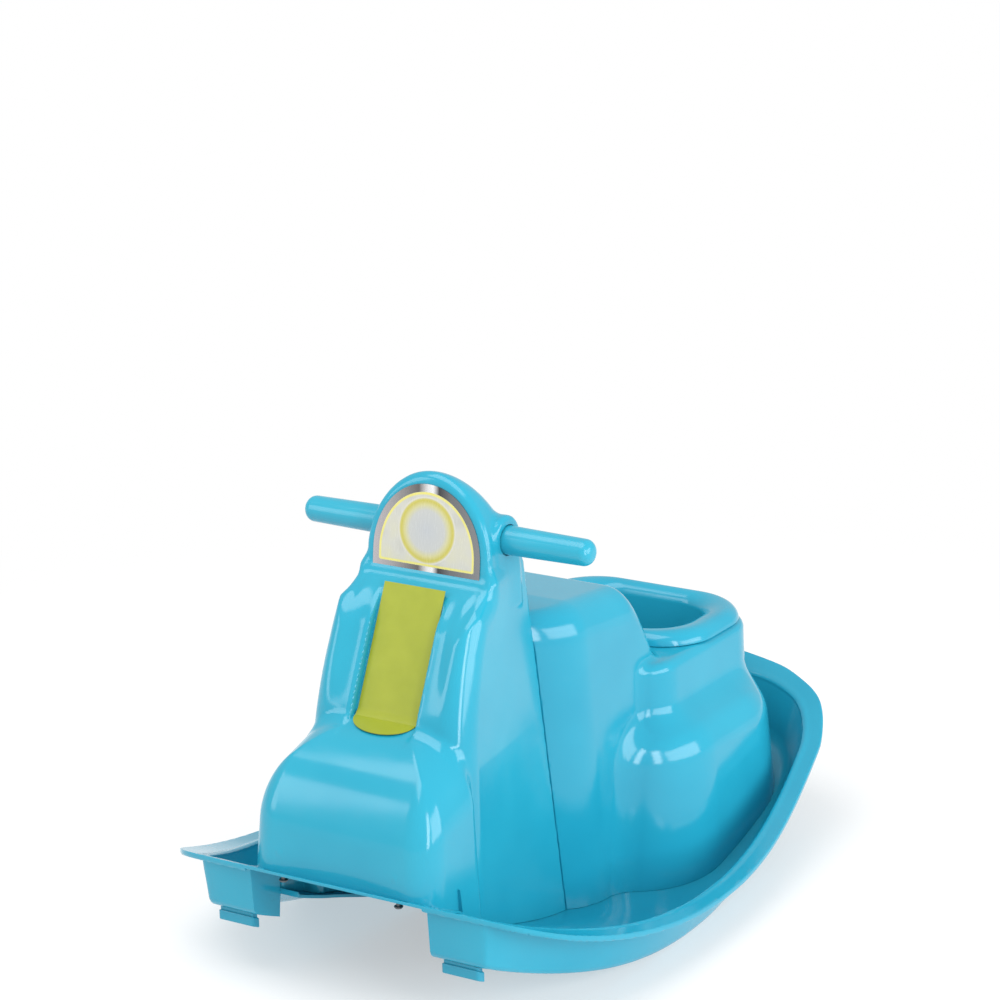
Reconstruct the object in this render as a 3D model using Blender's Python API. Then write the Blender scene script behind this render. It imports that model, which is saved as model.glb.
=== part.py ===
"""Rocking scooter for toddlers: a tub on curved soles with a scooter front, a seat and a bin behind it.

Metres, +Z up, front towards -Y, the rider's left towards +X. At rest the flat of the soles is at Z = 0.
"""
import math

import bmesh
import bpy
import numpy as np

# Shared clearances and walls
GAP = 0.0003
WALL = 0.003

# Rocking curve of the soles: an arc in side view with a short flat at its lowest point
ROCK_RADIUS = 0.667
ROCK_Y = -0.020
ROCK_FLAT = 0.040

# Tub rim: half outline of the lip, seen from above, from the front middle round to the rear middle
LIP_OUTLINE = (
    (0.000, -0.328), (0.080, -0.320), (0.150, -0.309), (0.183, -0.291), (0.204, -0.252), (0.220, -0.156),
    (0.224, -0.047), (0.215, 0.070), (0.190, 0.202), (0.179, 0.246), (0.156, 0.285), (0.121, 0.307),
    (0.081, 0.319), (0.000, 0.328),
)
LIP_BOTTOM = 0.040
LIP_HEIGHT = 0.005
LIP_WIDTH = 0.0025
LIP_EDGE = 0.001
RIM_TOP = LIP_BOTTOM + LIP_HEIGHT
SLICE = 0.024

# Hull below the rim: half outlines under the flange and round the sole, point for point
HULL_OUTLINE = (
    (0.000, -0.3110), (0.080, -0.3105), (0.138, -0.3080), (0.153, -0.2980), (0.170, -0.2620), (0.199, -0.1560),
    (0.207, -0.0470), (0.1985, 0.0700), (0.1745, 0.2020), (0.162, 0.2460), (0.139, 0.2790), (0.107, 0.2965),
    (0.070, 0.3040), (0.000, 0.3090),
)
SOLE_OUTLINE = (
    (0.000, -0.3080), (0.080, -0.3075), (0.135, -0.3050), (0.148, -0.2960), (0.158, -0.2620), (0.183, -0.1560),
    (0.189, -0.0470), (0.181, 0.0700), (0.158, 0.2020), (0.147, 0.2430), (0.127, 0.2700), (0.098, 0.2860),
    (0.064, 0.2935), (0.000, 0.3000),
)
SOLE_EDGE = 0.003
SOLE_EDGE_RISE = 0.003

# Inner side of the soles, raised towards the middle ahead of the seat
LIFT_HEIGHT = 0.022
LIFT_OUTER = 0.150
LIFT_INNER = 0.095
LIFT_START = 0.010
LIFT_FULL = -0.220

# Front bridge and the tunnel below it, between the two toe boxes
TUNNEL_HALF = 0.092
BRIDGE_HALF = 0.1005
TOE_REAR = -0.268
TOE_STEP = 0.004
STEP_RAYS = (0.0008, 0.0055)

# Half outline of the opening in the floor, inside the cowl and the seat shell
OPENING_OUTLINE = (
    (0.000, -0.298), (0.066, -0.296), (0.070, -0.230), (0.062, -0.170), (0.052, -0.070), (0.058, -0.010),
    (0.078, 0.060), (0.112, 0.105), (0.124, 0.160), (0.114, 0.210), (0.080, 0.240), (0.000, 0.250),
)

# Column and head
HANDLE_Y = -0.123
HANDLE_Z = 0.379
ARCH_Z = 0.364
ARCH_HALF = 0.0685
ARCH_RISE = 0.074
PANEL_Y = -0.159
PANEL_Z = 0.349
PANEL_LEAN = math.tan(math.radians(6.6))
PANEL_EDGE = 0.007
COLUMN_FRONT_HALF = ((0.000, 0.090), (0.200, 0.0865), (0.294, 0.0805), (0.340, 0.0785), (0.364, 0.0685))
COLUMN_EDGE = 0.026
REAR_Y = -0.0524
REAR_LEAN = 0.107
REAR_HALF = 0.0722
REAR_TAPER = 0.041
REAR_EDGE = 0.003
CROWN_EDGE = 0.020
CROWN_LEAN = 0.25

# Apron below the head: a bowed side-view line of its face, and its sloping top
APRON_Y = -0.2147
APRON_Z = 0.294
APRON_LEAN = 0.409
APRON_BOW = 1.72
APRON_LOW = 0.180
SHELF_Y = -0.159
SHELF_Z = 0.347
SHELF_SLOPE = 0.60
SHELF_EDGE = 0.012

# Channel sunk into the apron
CHANNEL_HALF = 0.0335
CHANNEL_DEPTH = 0.008
CHANNEL_TOP = 0.3465
CHANNEL_REACH = 0.034
CHANNEL_BED = 0.0006
FOLD_RISE = 0.004

# Fender
FENDER_HALF = 0.0955
FENDER_REAR = -0.228
FENDER_REAR_EDGE = 0.010
FENDER_Y = -0.312
FENDER_Z = 0.115
FENDER_DRAFT_SIDE = 0.045
FENDER_DRAFT_FRONT = 0.110
FENDER_TOP_Y = -0.224
FENDER_TOP_Z = 0.236
FENDER_TOP_SLOPE = 0.30
FENDER_CORNER = 0.026
FENDER_TOP_EDGE = 0.058
FENDER_BLEND = 0.007

# Handle bosses and handles
BOSS_RADIUS = 0.0215
BOSS_FACE = 0.063
BOSS_EDGE = 0.005
HANDLE_HOLE = 0.014
HANDLE_BASE = 0.013
HANDLE_END = 0.01175
HANDLE_TIP = 0.149
HANDLE_ROUND = 0.009
HANDLE_COLLAR = 0.017
HANDLE_SLEEVE = 0.009
SLEEVE_END = 0.034
TUBE_RADIUS = 0.005
TUBE_WALL = 0.001
TUBE_END = 0.132
PIN_RADIUS = 0.0016
PIN_LENGTH = 0.022
PIN_X = 0.042

# Seat
SEAT_HALF = 0.086
SEAT_WIDEN = 0.036
SEAT_TOP = 0.296
SEAT_LOW = 0.196
SEAT_SLOPE = 0.10
SEAT_SLOPE_START = -0.030
SEAT_DIP_START = 0.045
SEAT_DIP_END = 0.122
SEAT_EDGE = 0.024
SEAT_BLEND = 0.006
SEAT_JOINT = 0.0005
SEAT_SPINE_Y = 0.090

# Backrest body and the flare below it
BACK_HALF = 0.106
BACK_FRONT = 0.050
BACK_REAR = 0.257
BACK_CORNER = 0.046
BACK_TOP = 0.209
BACK_EDGE = 0.009
FLARE_HALF = 0.150
FLARE_FRONT = 0.012
FLARE_REAR = 0.277
FLARE_CORNER = 0.085
FLARE_TOP = 0.156
FLARE_EDGE = 0.034
FLARE_DRAFT = 0.07
FLARE_BLEND = 0.016

# Storage bin
BIN_RIM_TOP = 0.222
BIN_RIM_HALF = 0.1045
BIN_RIM_REAR = 0.2555
BIN_RIM_FRONT = 0.112
BIN_RIM_CORNER = 0.052
BIN_MOUTH_HALF = 0.074
BIN_MOUTH_REAR = 0.238
BIN_MOUTH_FRONT = 0.134
BIN_MOUTH_CORNER = 0.044
BIN_DEPTH = 0.125
BIN_DRAFT = 0.06
BIN_HOLE_ROOM = 0.003

# Labels
LABEL_THICK = 0.0005
LABEL_ROOM = 0.0008
HEADLIGHT_HALF = 0.0555
HEADLIGHT_ARCH_Z = 0.3655
HEADLIGHT_RISE = 0.0625
HEADLIGHT_BOTTOM = 0.3495
STRIP_HALF = 0.0315
STRIP_TOP = 0.3425
STRIP_FOOT = 0.022

# Stop pads under the toe boxes
PAD_INNER = 0.0985
PAD_OUTER = 0.1365
PAD_FRONT = -0.3015
PAD_DEPTH = 0.011
PAD_HEIGHT = 0.0125
PAD_CORNER = 0.003
PAD_STEM = 0.0035
PAD_STEM_INSET = 0.0015

# Screws and the posts that they bite into
SCREW_RADIUS = 0.002
SCREW_HEAD = 0.004
SCREW_HEAD_HEIGHT = 0.0022
SCREW_LENGTH = 0.016
POST_RADIUS = 0.0055
POST_HEIGHT = 0.022
POST_BITE = 0.002
POST_ROOM = 0.0105
RIB_WIDTH = 0.003
RIB_START = 0.0004
PLINTH_RADIUS = 0.0065
PLINTH_HEIGHT = 0.005
COUNTERBORE = 0.0046
HOLE_OVER = 0.004
COWL_FRONT_SCREW_X = 0.060
COWL_SIDE_SCREW_Y = -0.130
SEAT_SCREW_Y = (-0.040, 0.175)

# Fineness of the curved skins
STATIONS = 48
CAST_STEPS = 160
SKIN_REACH = 0.4
SKIN_PASSES = 8
SKIN_SLACK = 0.0009


def clear_scene():
    for item in list(bpy.data.objects):
        bpy.data.objects.remove(item, do_unlink=True)


def plastic(name, colour, roughness, metallic=0.0):
    found = bpy.data.materials.get(name)
    if found:
        return found
    made = bpy.data.materials.new(name)
    made.use_nodes = True
    made.diffuse_color = (*colour, 1.0)
    shader = made.node_tree.nodes["Principled BSDF"]
    shader.inputs["Base Color"].default_value = (*colour, 1.0)
    shader.inputs["Roughness"].default_value = roughness
    shader.inputs["Metallic"].default_value = metallic
    return made


def add_object(name, verts, faces):
    mesh = bpy.data.meshes.new(name)
    mesh.from_pydata([tuple(float(c) for c in v) for v in verts], [], faces)
    mesh.validate()
    item = bpy.data.objects.new(name, mesh)
    bpy.context.scene.collection.objects.link(item)
    work = bmesh.new()
    work.from_mesh(mesh)
    bmesh.ops.recalc_face_normals(work, faces=work.faces)
    work.to_mesh(mesh)
    work.free()
    return item


def bake(item):
    graph = bpy.context.evaluated_depsgraph_get()
    graph.update()
    made = bpy.data.meshes.new_from_object(item.evaluated_get(graph))
    item.modifiers.clear()
    old = item.data
    item.data = made
    bpy.data.meshes.remove(old)


def combine(item, other, operation):
    step = item.modifiers.new("combine", "BOOLEAN")
    step.operation = operation
    step.solver = "EXACT"
    step.object = other
    bake(item)
    bpy.data.objects.remove(other, do_unlink=True)


def finish(item, name, material, angle=35.0):
    item.name = name
    item.data.name = name
    item.data.materials.clear()
    item.data.materials.append(material)
    item.data.shade_smooth()
    item.data.set_sharp_from_angle(angle=math.radians(angle))
    return item


def slice_lines():
    """Positions at which the tub is cut across, from front to rear; it is straight between them."""
    reach = LIP_OUTLINE[-1][1]
    half = ROCK_FLAT / 2
    lines = [TOE_REAR, TOE_REAR + TOE_STEP]
    lines += list(np.arange(ROCK_Y - half, -reach - SLICE, -SLICE))
    lines += list(np.arange(ROCK_Y + half, reach + SLICE, SLICE))
    return np.array(sorted(lines))


def rest_z(y):
    """Height of the sole line above the floor at y; zero along the short flat."""
    lines = slice_lines()
    drop = ROCK_RADIUS - np.sqrt(ROCK_RADIUS ** 2 - (lines - ROCK_Y) ** 2)
    flat = ROCK_RADIUS - math.sqrt(ROCK_RADIUS ** 2 - (ROCK_FLAT / 2) ** 2)
    return np.interp(y, lines, np.maximum(drop, flat) - flat)


def lift(x, y):
    """How far the inner side of a sole is raised above the rocking curve."""
    lines = slice_lines()
    along = ease((LIFT_START - lines) / (LIFT_START - LIFT_FULL)) * (lines > TOE_REAR)
    inward = ease((LIFT_OUTER - np.abs(x)) / (LIFT_OUTER - LIFT_INNER))
    return LIFT_HEIGHT * np.interp(y, lines, along) * inward


def ground(x, y):
    return rest_z(y) + lift(x, y)


def ground_slope(x, y):
    """Steepness of the sole from front to rear, without its sign."""
    step = 0.001
    return abs(float(ground(x, y + step) - ground(x, y - step))) / (2 * step)


def smooth_outline(half, per_span):
    """Closed smooth outline through a half outline and its mirror image."""
    knots = list(half) + [(-x, y) for x, y in reversed(half[1:-1])]
    knots = np.array(knots)
    count = len(knots)
    points = []
    for i in range(count):
        a, b, c, d = (knots[(i + k) % count] for k in (-1, 0, 1, 2))
        for t in np.arange(per_span) / per_span:
            points.append(0.5 * (2 * b + (c - a) * t + (2 * a - 5 * b + 4 * c - d) * t ** 2
                                 + (3 * b - a - 3 * c + d) * t ** 3))
    return np.array(points)


def rounded_rectangle(half, front, rear, corner, per_corner=7):
    """Closed outline with the four corners rounded, the same number of points for every size."""
    points = []
    centres = ((half - corner, front + corner), (half - corner, rear - corner),
               (corner - half, rear - corner), (corner - half, front + corner))
    for k, (cx, cy) in enumerate(centres):
        for t in np.linspace(0.0, math.pi / 2, per_corner):
            turn = t + math.pi / 2 * (k - 1)
            points.append((cx + corner * math.cos(turn), cy + corner * math.sin(turn)))
    return np.array(points)


def inset(outline, amount):
    """Outline drawn in by an amount along its own normals."""
    along = np.roll(outline, -1, axis=0) - np.roll(outline, 1, axis=0)
    along /= np.linalg.norm(along, axis=1)[:, None]
    return outline + np.column_stack([-along[:, 1], along[:, 0]]) * amount


def loft(name, rings):
    """Closed solid through rings of equal length, each an outline with a height."""
    count = len(rings[0][0])
    verts = [(x, y, z) for outline, z in rings for x, y in outline]
    faces = []
    for r in range(len(rings) - 1):
        for i in range(count):
            j = (i + 1) % count
            faces.append((r * count + i, r * count + j, (r + 1) * count + j, (r + 1) * count + i))
    faces.append(tuple(range(count))[::-1])
    faces.append(tuple(range((len(rings) - 1) * count, len(rings) * count)))
    return add_object(name, verts, faces)


def side_prism(name, line, half):
    """Solid with a closed side-view line, running from -half to +half across."""
    count = len(line)
    verts = [(-half, y, z) for y, z in line] + [(half, y, z) for y, z in line]
    faces = [(i, (i + 1) % count, count + (i + 1) % count, count + i) for i in range(count)]
    faces += [tuple(range(count))[::-1], tuple(range(count, 2 * count))]
    return add_object(name, verts, faces)


def spun(name, profile, centre, axis, steps=24):
    """Solid turned about an axis through centre; the profile gives (distance along, radius)."""
    verts, faces = [], []
    for along, radius in profile:
        for k in range(steps):
            turn = 2 * math.pi * k / steps
            a, b = radius * math.cos(turn), radius * math.sin(turn)
            local = {"X": (along, a, b), "Z": (a, b, along)}[axis]
            verts.append(np.array(centre) + local)
    rows = len(profile)
    for r in range(rows - 1):
        for k in range(steps):
            j = (k + 1) % steps
            faces.append((r * steps + k, r * steps + j, (r + 1) * steps + j, (r + 1) * steps + k))
    faces.append(tuple(range(steps))[::-1])
    faces.append(tuple(range((rows - 1) * steps, rows * steps)))
    return add_object(name, verts, faces)


def round_join(a, b, radius):
    """Both inside: the edge between two faces rounded with a radius."""
    over = np.sqrt(np.maximum(a + radius, 0) ** 2 + np.maximum(b + radius, 0) ** 2)
    return np.minimum(np.maximum(a, b), -radius) + over


def round_union(a, b, radius):
    """Either inside: the valley between two faces filled with a radius."""
    return -round_join(-a, -b, radius)


def ease(t):
    t = np.clip(t, 0.0, 1.0)
    return t * t * (3 - 2 * t)


def rear_plane(z):
    return REAR_Y - REAR_LEAN * z


def rear_half(z):
    return REAR_HALF - REAR_TAPER * z


def front_half(z):
    heights, halves = zip(*COLUMN_FRONT_HALF)
    return np.interp(z, heights, halves)


def panel_plane(z):
    return PANEL_Y + PANEL_LEAN * (z - PANEL_Z)


def apron_plane(z):
    rise = np.maximum(z, APRON_LOW) - APRON_Z
    return APRON_Y + APRON_LEAN * rise + APRON_BOW * rise ** 2


def shelf_line(y):
    return SHELF_Z + SHELF_SLOPE * (y - SHELF_Y)


def fender_top(y):
    return FENDER_TOP_Z + FENDER_TOP_SLOPE * (y - FENDER_TOP_Y)


def channel_floor(y):
    """Height of the bed at the channel's foot, just above the fender's top face."""
    return fender_top(y) + CHANNEL_BED


def column_shape(x, y, z):
    """Head, column and apron; negative inside."""
    fore = np.clip((rear_plane(z) - y) / (rear_plane(z) - apron_plane(np.minimum(z, PANEL_Z))), 0, 1.2)
    wide = rear_half(z) + (front_half(z) - rear_half(z)) * fore
    squeeze = wide / front_half(z)
    arch = (np.hypot(x / (ARCH_HALF * squeeze), (z - ARCH_Z) / ARCH_RISE) - 1) * ARCH_HALF
    side = np.where(z > ARCH_Z, arch, np.abs(x) - wide)
    back = y - rear_plane(z)
    crown = back + CROWN_LEAN * np.maximum(z - PANEL_Z, 0)
    shelf = (z - shelf_line(y)) / math.hypot(1, SHELF_SLOPE)
    apron = round_join((apron_plane(z) - y) * 0.9, shelf, SHELF_EDGE)
    front = round_union(panel_plane(z) - y, apron, FENDER_BLEND)
    edge = PANEL_EDGE + (COLUMN_EDGE - PANEL_EDGE) * ease((PANEL_Z - z) / 0.02)
    shape = round_join(side, front, edge)
    return round_join(shape, crown, CROWN_EDGE * ease((z - PANEL_Z) / 0.05) + REAR_EDGE)


def fender_shape(x, y, z):
    side = np.abs(x) - FENDER_HALF + FENDER_DRAFT_SIDE * (z - FENDER_Z)
    front = FENDER_Y + FENDER_DRAFT_FRONT * (z - FENDER_Z) - y
    top = (z - fender_top(y)) / math.hypot(1, FENDER_TOP_SLOPE)
    shape = round_join(side, front, FENDER_CORNER)
    shape = round_join(shape, top, FENDER_TOP_EDGE)
    return round_join(shape, y - FENDER_REAR, FENDER_REAR_EDGE)


def boss_shape(x, y, z):
    round_top = np.hypot(y - HANDLE_Y, z - HANDLE_Z) - BOSS_RADIUS
    slot = np.where(z > HANDLE_Z, round_top, np.abs(y - HANDLE_Y) - BOSS_RADIUS)
    slot = np.maximum(slot, (ARCH_Z - 0.05) - z)
    return round_join(slot, np.abs(x) - BOSS_FACE, BOSS_EDGE)


def cowl_shape(points):
    x, y, z = points[:, 0], points[:, 1], points[:, 2]
    shape = round_union(column_shape(x, y, z), fender_shape(x, y, z), FENDER_BLEND)
    return round_union(shape, boss_shape(x, y, z), 0.003)


def cowl_inner_shape(points):
    x, y, z = points[:, 0], points[:, 1], points[:, 2]
    shape = cowl_shape(points) + WALL + 0.0005
    channel = np.maximum(y - apron_plane(z) - CHANNEL_DEPTH, channel_floor(y) - z)
    channel = np.maximum(channel, np.maximum(np.abs(x) - CHANNEL_HALF, z - CHANNEL_TOP))
    return np.maximum(shape, WALL + 0.001 - channel)


def seat_top(y):
    bench = SEAT_TOP - SEAT_SLOPE * np.maximum(y - SEAT_SLOPE_START, 0)
    return bench + (SEAT_LOW - bench) * ease((y - SEAT_DIP_START) / (SEAT_DIP_END - SEAT_DIP_START))


def seat_shape(points):
    """Seat, backrest body and flare; negative inside."""
    x, y, z = points[:, 0], points[:, 1], points[:, 2]
    front = rear_plane(z) + SEAT_JOINT - y
    wide = rear_half(z) + (SEAT_HALF - rear_half(z)) * np.clip(-front / SEAT_WIDEN, 0, 1)
    block = round_join((np.abs(x) - wide) * 0.85, (z - seat_top(y)) * 0.75, SEAT_EDGE)
    block = np.maximum(block, front)
    block = np.maximum(block, y - (BIN_RIM_FRONT + 0.02))
    back = rounded_plan(x, y, BACK_HALF + 0.03 * (BACK_TOP - z), BACK_FRONT, BACK_REAR, BACK_CORNER)
    back = round_join(back, z - BACK_TOP, BACK_EDGE)
    taper = FLARE_DRAFT * np.maximum(z, 0)
    flare = rounded_plan(x, y, FLARE_HALF - taper, FLARE_FRONT + taper, FLARE_REAR - taper, FLARE_CORNER)
    flare = round_join(flare, z - FLARE_TOP, FLARE_EDGE)
    shape = round_union(block, back, SEAT_BLEND)
    return round_union(shape, flare, FLARE_BLEND)


def seat_inner_shape(points):
    return seat_shape(points) + WALL


def rounded_plan(x, y, half, front, rear, corner):
    across = np.abs(x) - half + corner
    along = np.abs(y - (front + rear) / 2) - (rear - front) / 2 + corner
    over = np.hypot(np.maximum(across, 0), np.maximum(along, 0))
    return over + np.minimum(np.maximum(across, along), 0) - corner


def cast(shape, origins, directions, far):
    """Distance along each ray to where it first leaves the shape."""
    steps = np.linspace(0.0, far, CAST_STEPS)
    low = np.zeros(len(origins))
    high = np.full(len(origins), far)
    open_rays = np.ones(len(origins), bool)
    for a, b in zip(steps[:-1], steps[1:]):
        out = open_rays & (shape(origins + directions * b) > 0)
        low[out], high[out] = a, b
        open_rays &= ~out
    for _ in range(20):
        middle = (low + high) / 2
        out = shape(origins + directions * middle[:, None]) > 0
        high = np.where(out, middle, high)
        low = np.where(out, low, middle)
    return (low + high) / 2


def skin_rays(shape, turns, spine, foot, split_z, walls, fan):
    """Rows of rays from inside: level ones up the walls from the foot, then a fan over the top."""
    count = len(turns(split_z))

    def row(level, z, rise):
        angle = turns(level)
        aim = np.column_stack([np.sin(angle) * math.cos(rise), -np.cos(angle) * math.cos(rise),
                               np.full(count, math.sin(rise))])
        return np.column_stack([np.zeros(count), np.full(count, spine(level)), z]), aim

    foot_z = foot(np.zeros(count), np.full(count, spine(0.0)))
    for _ in range(6):
        start, aim = row(float(foot_z.mean()), foot_z, 0.0)
        hit = start + aim * cast(shape, start, aim, SKIN_REACH)[:, None]
        foot_z = foot(hit[:, 0], hit[:, 1])
    rows = []
    for share in walls:
        z = foot_z + (split_z - foot_z) * share
        rows.append(row(float(z.mean()), z, 0.0))
    rows += [row(split_z, np.full(count, split_z), rise) for rise in fan]
    rows.append(row(split_z, np.full(count, split_z), math.pi / 2))
    return rows


def skin_pair(outer_shape, inner_shape, rows, foot):
    """Outer points on every ray; inner points on every second one, drawn in wherever a straight
    edge between two of them would come close to the outer face."""
    outer = [start + aim * cast(outer_shape, start, aim, SKIN_REACH)[:, None] for start, aim in rows]
    last = len(rows) - 1
    picked = [rows[k] for k in list(range(0, last - 1, 2)) + [last]]
    starts = np.array([start[::2] for start, _ in picked])
    aims = np.array([aim[::2] for _, aim in picked])
    depth = np.array([cast(inner_shape, start, aim, SKIN_REACH) for start, aim in zip(starts, aims)])
    count = len(depth)
    for _ in range(SKIN_PASSES):
        points = starts + aims * depth[..., None]
        pull = np.zeros(depth.shape)
        for down, across in ((0, 1), (1, 0), (1, 1), (1, -1)):
            a, b = points[:count - down], np.roll(points, -across, axis=1)[down:]
            for share in (0.25, 0.5, 0.75):
                between = (a + (b - a) * share).reshape(-1, 3)
                over = np.maximum(inner_shape(between) - SKIN_SLACK, 0).reshape(a.shape[:2])
                pull[:count - down] = np.maximum(pull[:count - down], over)
                pull[down:] = np.maximum(pull[down:], np.roll(over, across, axis=1))
        depth -= pull
    depth[-1] = depth[-1].min()
    inner = list(starts + aims * depth[..., None])
    own = foot(inner[0][:, 0], inner[0][:, 1])
    inner[0][:, 2] = np.where(np.abs(own - inner[0][:, 2]) < RIM_TOP / 4, own, inner[0][:, 2])
    outer[-1] = outer[-1][:1]
    inner[-1] = inner[-1][:1]
    return outer, inner


def shell(name, outer, inner):
    """Closed thin shell from outer rows and inner rows that have every second station."""
    verts = [p for row in outer for p in row]
    faces = []
    count = len(outer[0])
    for r in range(len(outer) - 2):
        for i in range(count):
            j = (i + 1) % count
            faces.append((r * count + i, r * count + j, (r + 1) * count + j, (r + 1) * count + i))
    top = (len(outer) - 2) * count
    faces += [(top + i, top + (i + 1) % count, top + count) for i in range(count)]
    base = len(verts)
    verts += [p for row in inner for p in row]
    half = len(inner[0])
    for r in range(len(inner) - 2):
        for i in range(half):
            j = (i + 1) % half
            a, b = base + r * half, base + (r + 1) * half
            faces.append((a + j, a + i, b + i, b + j))
    top = base + (len(inner) - 2) * half
    faces += [(top + (i + 1) % half, top + i, top + half) for i in range(half)]
    for i in range(half):
        j = (i + 1) % half
        k = (2 * i + 2) % count
        faces.append((2 * i + 1, 2 * i, base + i))
        faces.append((k, 2 * i + 1, base + i))
        faces.append((k, base + i, base + j))
    return add_object(name, verts, faces)


def mirrored_turns(shares, angles):
    """Angles round a full turn, spread by knots over one half and mirrored over the other."""
    half = np.interp(np.linspace(0, 1, STATIONS // 2 + 1), shares, angles)
    return np.concatenate([half, 2 * math.pi - half[1:-1][::-1]])


def beside_wall(shape, y):
    """Distance from the middle plane at which a post stands clear inside the side wall."""
    z = float(floor_top(0.0, y)) + POST_HEIGHT / 2
    hit = cast(shape, np.array([[0.0, y, z]]), np.array([[1.0, 0.0, 0.0]]), SKIN_REACH)
    return float(hit[0]) - POST_ROOM


def front_spot():
    return COWL_FRONT_SCREW_X, FENDER_Y + WALL + POST_RADIUS - POST_BITE


def cowl_side_spots():
    return [(beside_wall(cowl_inner_shape, COWL_SIDE_SCREW_Y), COWL_SIDE_SCREW_Y)]


def seat_spots():
    return [(beside_wall(seat_inner_shape, y), y) for y in SEAT_SCREW_Y]


def box(name, low, high):
    corners = [(x, y, z) for z in (low[2], high[2]) for x, y in
               ((low[0], low[1]), (high[0], low[1]), (high[0], high[1]), (low[0], high[1]))]
    faces = [(3, 2, 1, 0), (4, 5, 6, 7)] + [(i, (i + 1) % 4, 4 + (i + 1) % 4, 4 + i) for i in range(4)]
    return add_object(name, corners, faces)


def screw_post(item, x, y, z, rib_to=0.0):
    """Post with a blind hole from below on both sides of the middle plane, held by a rib to the wall."""
    for side in (-1, 1):
        post = spun("post", [(0, POST_RADIUS), (POST_HEIGHT, POST_RADIUS)], (side * x, y, z), "Z", 12)
        if rib_to:
            ends = sorted((side * x, side * (x + rib_to)))
            low = (ends[0], y - RIB_WIDTH / 2, z + RIB_START)
            high = (ends[1], y + RIB_WIDTH / 2, z + POST_HEIGHT * 0.8)
            rib = box("rib", low, high)
            combine(post, rib, "UNION")
        combine(item, post, "UNION")
        bore = spun("bore", [(-0.002, SCREW_RADIUS + GAP), (SCREW_LENGTH, SCREW_RADIUS + GAP)],
                    (side * x, y, z), "Z", 10)
        combine(item, bore, "DIFFERENCE")


def floor_top(x, y):
    return ground(x, y) + WALL + GAP


def plinth_top(x, y):
    return float(floor_top(x, y)) + PLINTH_HEIGHT + ground_slope(x, y) * PLINTH_RADIUS


def cowl_foot(x, y):
    behind = np.asarray(y) > TOE_REAR + sum(STEP_RAYS) / 2
    return GAP + np.where(behind, ground(x, y) + WALL, rest_z(y) + RIM_TOP)


def make_rocker_base(material):
    lip = smooth_outline(LIP_OUTLINE, 3)
    hull = smooth_outline(HULL_OUTLINE, 3)
    sole = smooth_outline(SOLE_OUTLINE, 3)
    base = loft("rocker_base", [
        (inset(sole, SOLE_EDGE), 0.0),
        (sole, SOLE_EDGE_RISE),
        (hull, RIM_TOP - WALL),
        (inset(lip, LIP_WIDTH), RIM_TOP - WALL),
        (inset(lip, LIP_WIDTH), LIP_BOTTOM),
        (lip, LIP_BOTTOM),
        (lip, RIM_TOP - LIP_EDGE),
        (inset(lip, LIP_EDGE), RIM_TOP),
    ])
    well = loft("well", [
        (inset(sole, SOLE_EDGE + WALL), WALL),
        (inset(sole, WALL), WALL + SOLE_EDGE_RISE),
        (inset(hull, WALL), RIM_TOP - LIP_EDGE),
        (inset(hull, WALL - LIP_EDGE * 1.5), RIM_TOP + LIP_EDGE / 2),
    ])
    reach = LIP_OUTLINE[-1][1] * 1.2
    below, above = -WALL * 3, RIM_TOP + WALL * 3
    core_line = [(-reach, below), (TOE_REAR, below), (TOE_REAR, above), (-reach, above)]
    core = side_prism("core", core_line, BRIDGE_HALF)
    combine(well, core, "DIFFERENCE")
    combine(base, well, "DIFFERENCE")
    roof = RIM_TOP - WALL
    tunnel_line = [(-reach, below), (TOE_REAR, below), (TOE_REAR, roof), (-reach, roof)]
    tunnel = side_prism("tunnel", tunnel_line, TUNNEL_HALF)
    combine(base, tunnel, "DIFFERENCE")
    opening = smooth_outline(OPENING_OUTLINE, 3)
    combine(base, loft("opening", [(opening, -0.02), (opening, RIM_TOP + 0.02)]), "DIFFERENCE")
    for x, y in [front_spot()] + cowl_side_spots() + seat_spots():
        on_bridge = y < TOE_REAR
        under = RIM_TOP - WALL if on_bridge else 0.0
        for side in (-1, 1):
            if not on_bridge:
                plinth = spun("plinth", [(WALL / 2, PLINTH_RADIUS), (WALL + PLINTH_HEIGHT, PLINTH_RADIUS)],
                              (side * x, y, 0), "Z", 14)
                combine(base, plinth, "UNION")
                pocket = spun("pocket", [(-WALL, COUNTERBORE), (PLINTH_HEIGHT, COUNTERBORE)],
                              (side * x, y, 0), "Z", 14)
                combine(base, pocket, "DIFFERENCE")
            ends = (under - HOLE_OVER, under + WALL + PLINTH_HEIGHT + HOLE_OVER)
            hole = spun("hole", [(end, SCREW_RADIUS + GAP) for end in ends], (side * x, y, 0), "Z", 10)
            combine(base, hole, "DIFFERENCE")
    bend_to_rocker(base)
    return finish(base, "rocker_base", material)


def bend_to_rocker(item):
    """Cut the flat-built tub into slices across and lift them onto the rocking curve."""
    work = bmesh.new()
    work.from_mesh(item.data)
    for y in slice_lines()[1:-1]:
        everything = work.verts[:] + work.edges[:] + work.faces[:]
        bmesh.ops.bisect_plane(work, geom=everything, dist=1e-6,
                               plane_co=(0, float(y), 0), plane_no=(0, 1, 0))
    lines = np.linspace(LIFT_INNER, LIFT_OUTER, 4)
    for x in np.concatenate([lines, -lines]):
        low = [f for f in work.faces if f.calc_center_median().z < RIM_TOP / 2]
        parts = low + list({e for f in low for e in f.edges}) + list({v for f in low for v in f.verts})
        bmesh.ops.bisect_plane(work, geom=parts, dist=1e-6, plane_co=(float(x), 0, 0), plane_no=(1, 0, 0))
    for vert in work.verts:
        vert.co.z += float(ground(vert.co.x, vert.co.y))
    work.to_mesh(item.data)
    work.free()


def cowl_spine(z):
    return float(np.interp(z, [0.0, 0.20, 0.30], [-0.190, -0.175, -0.125]))


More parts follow.
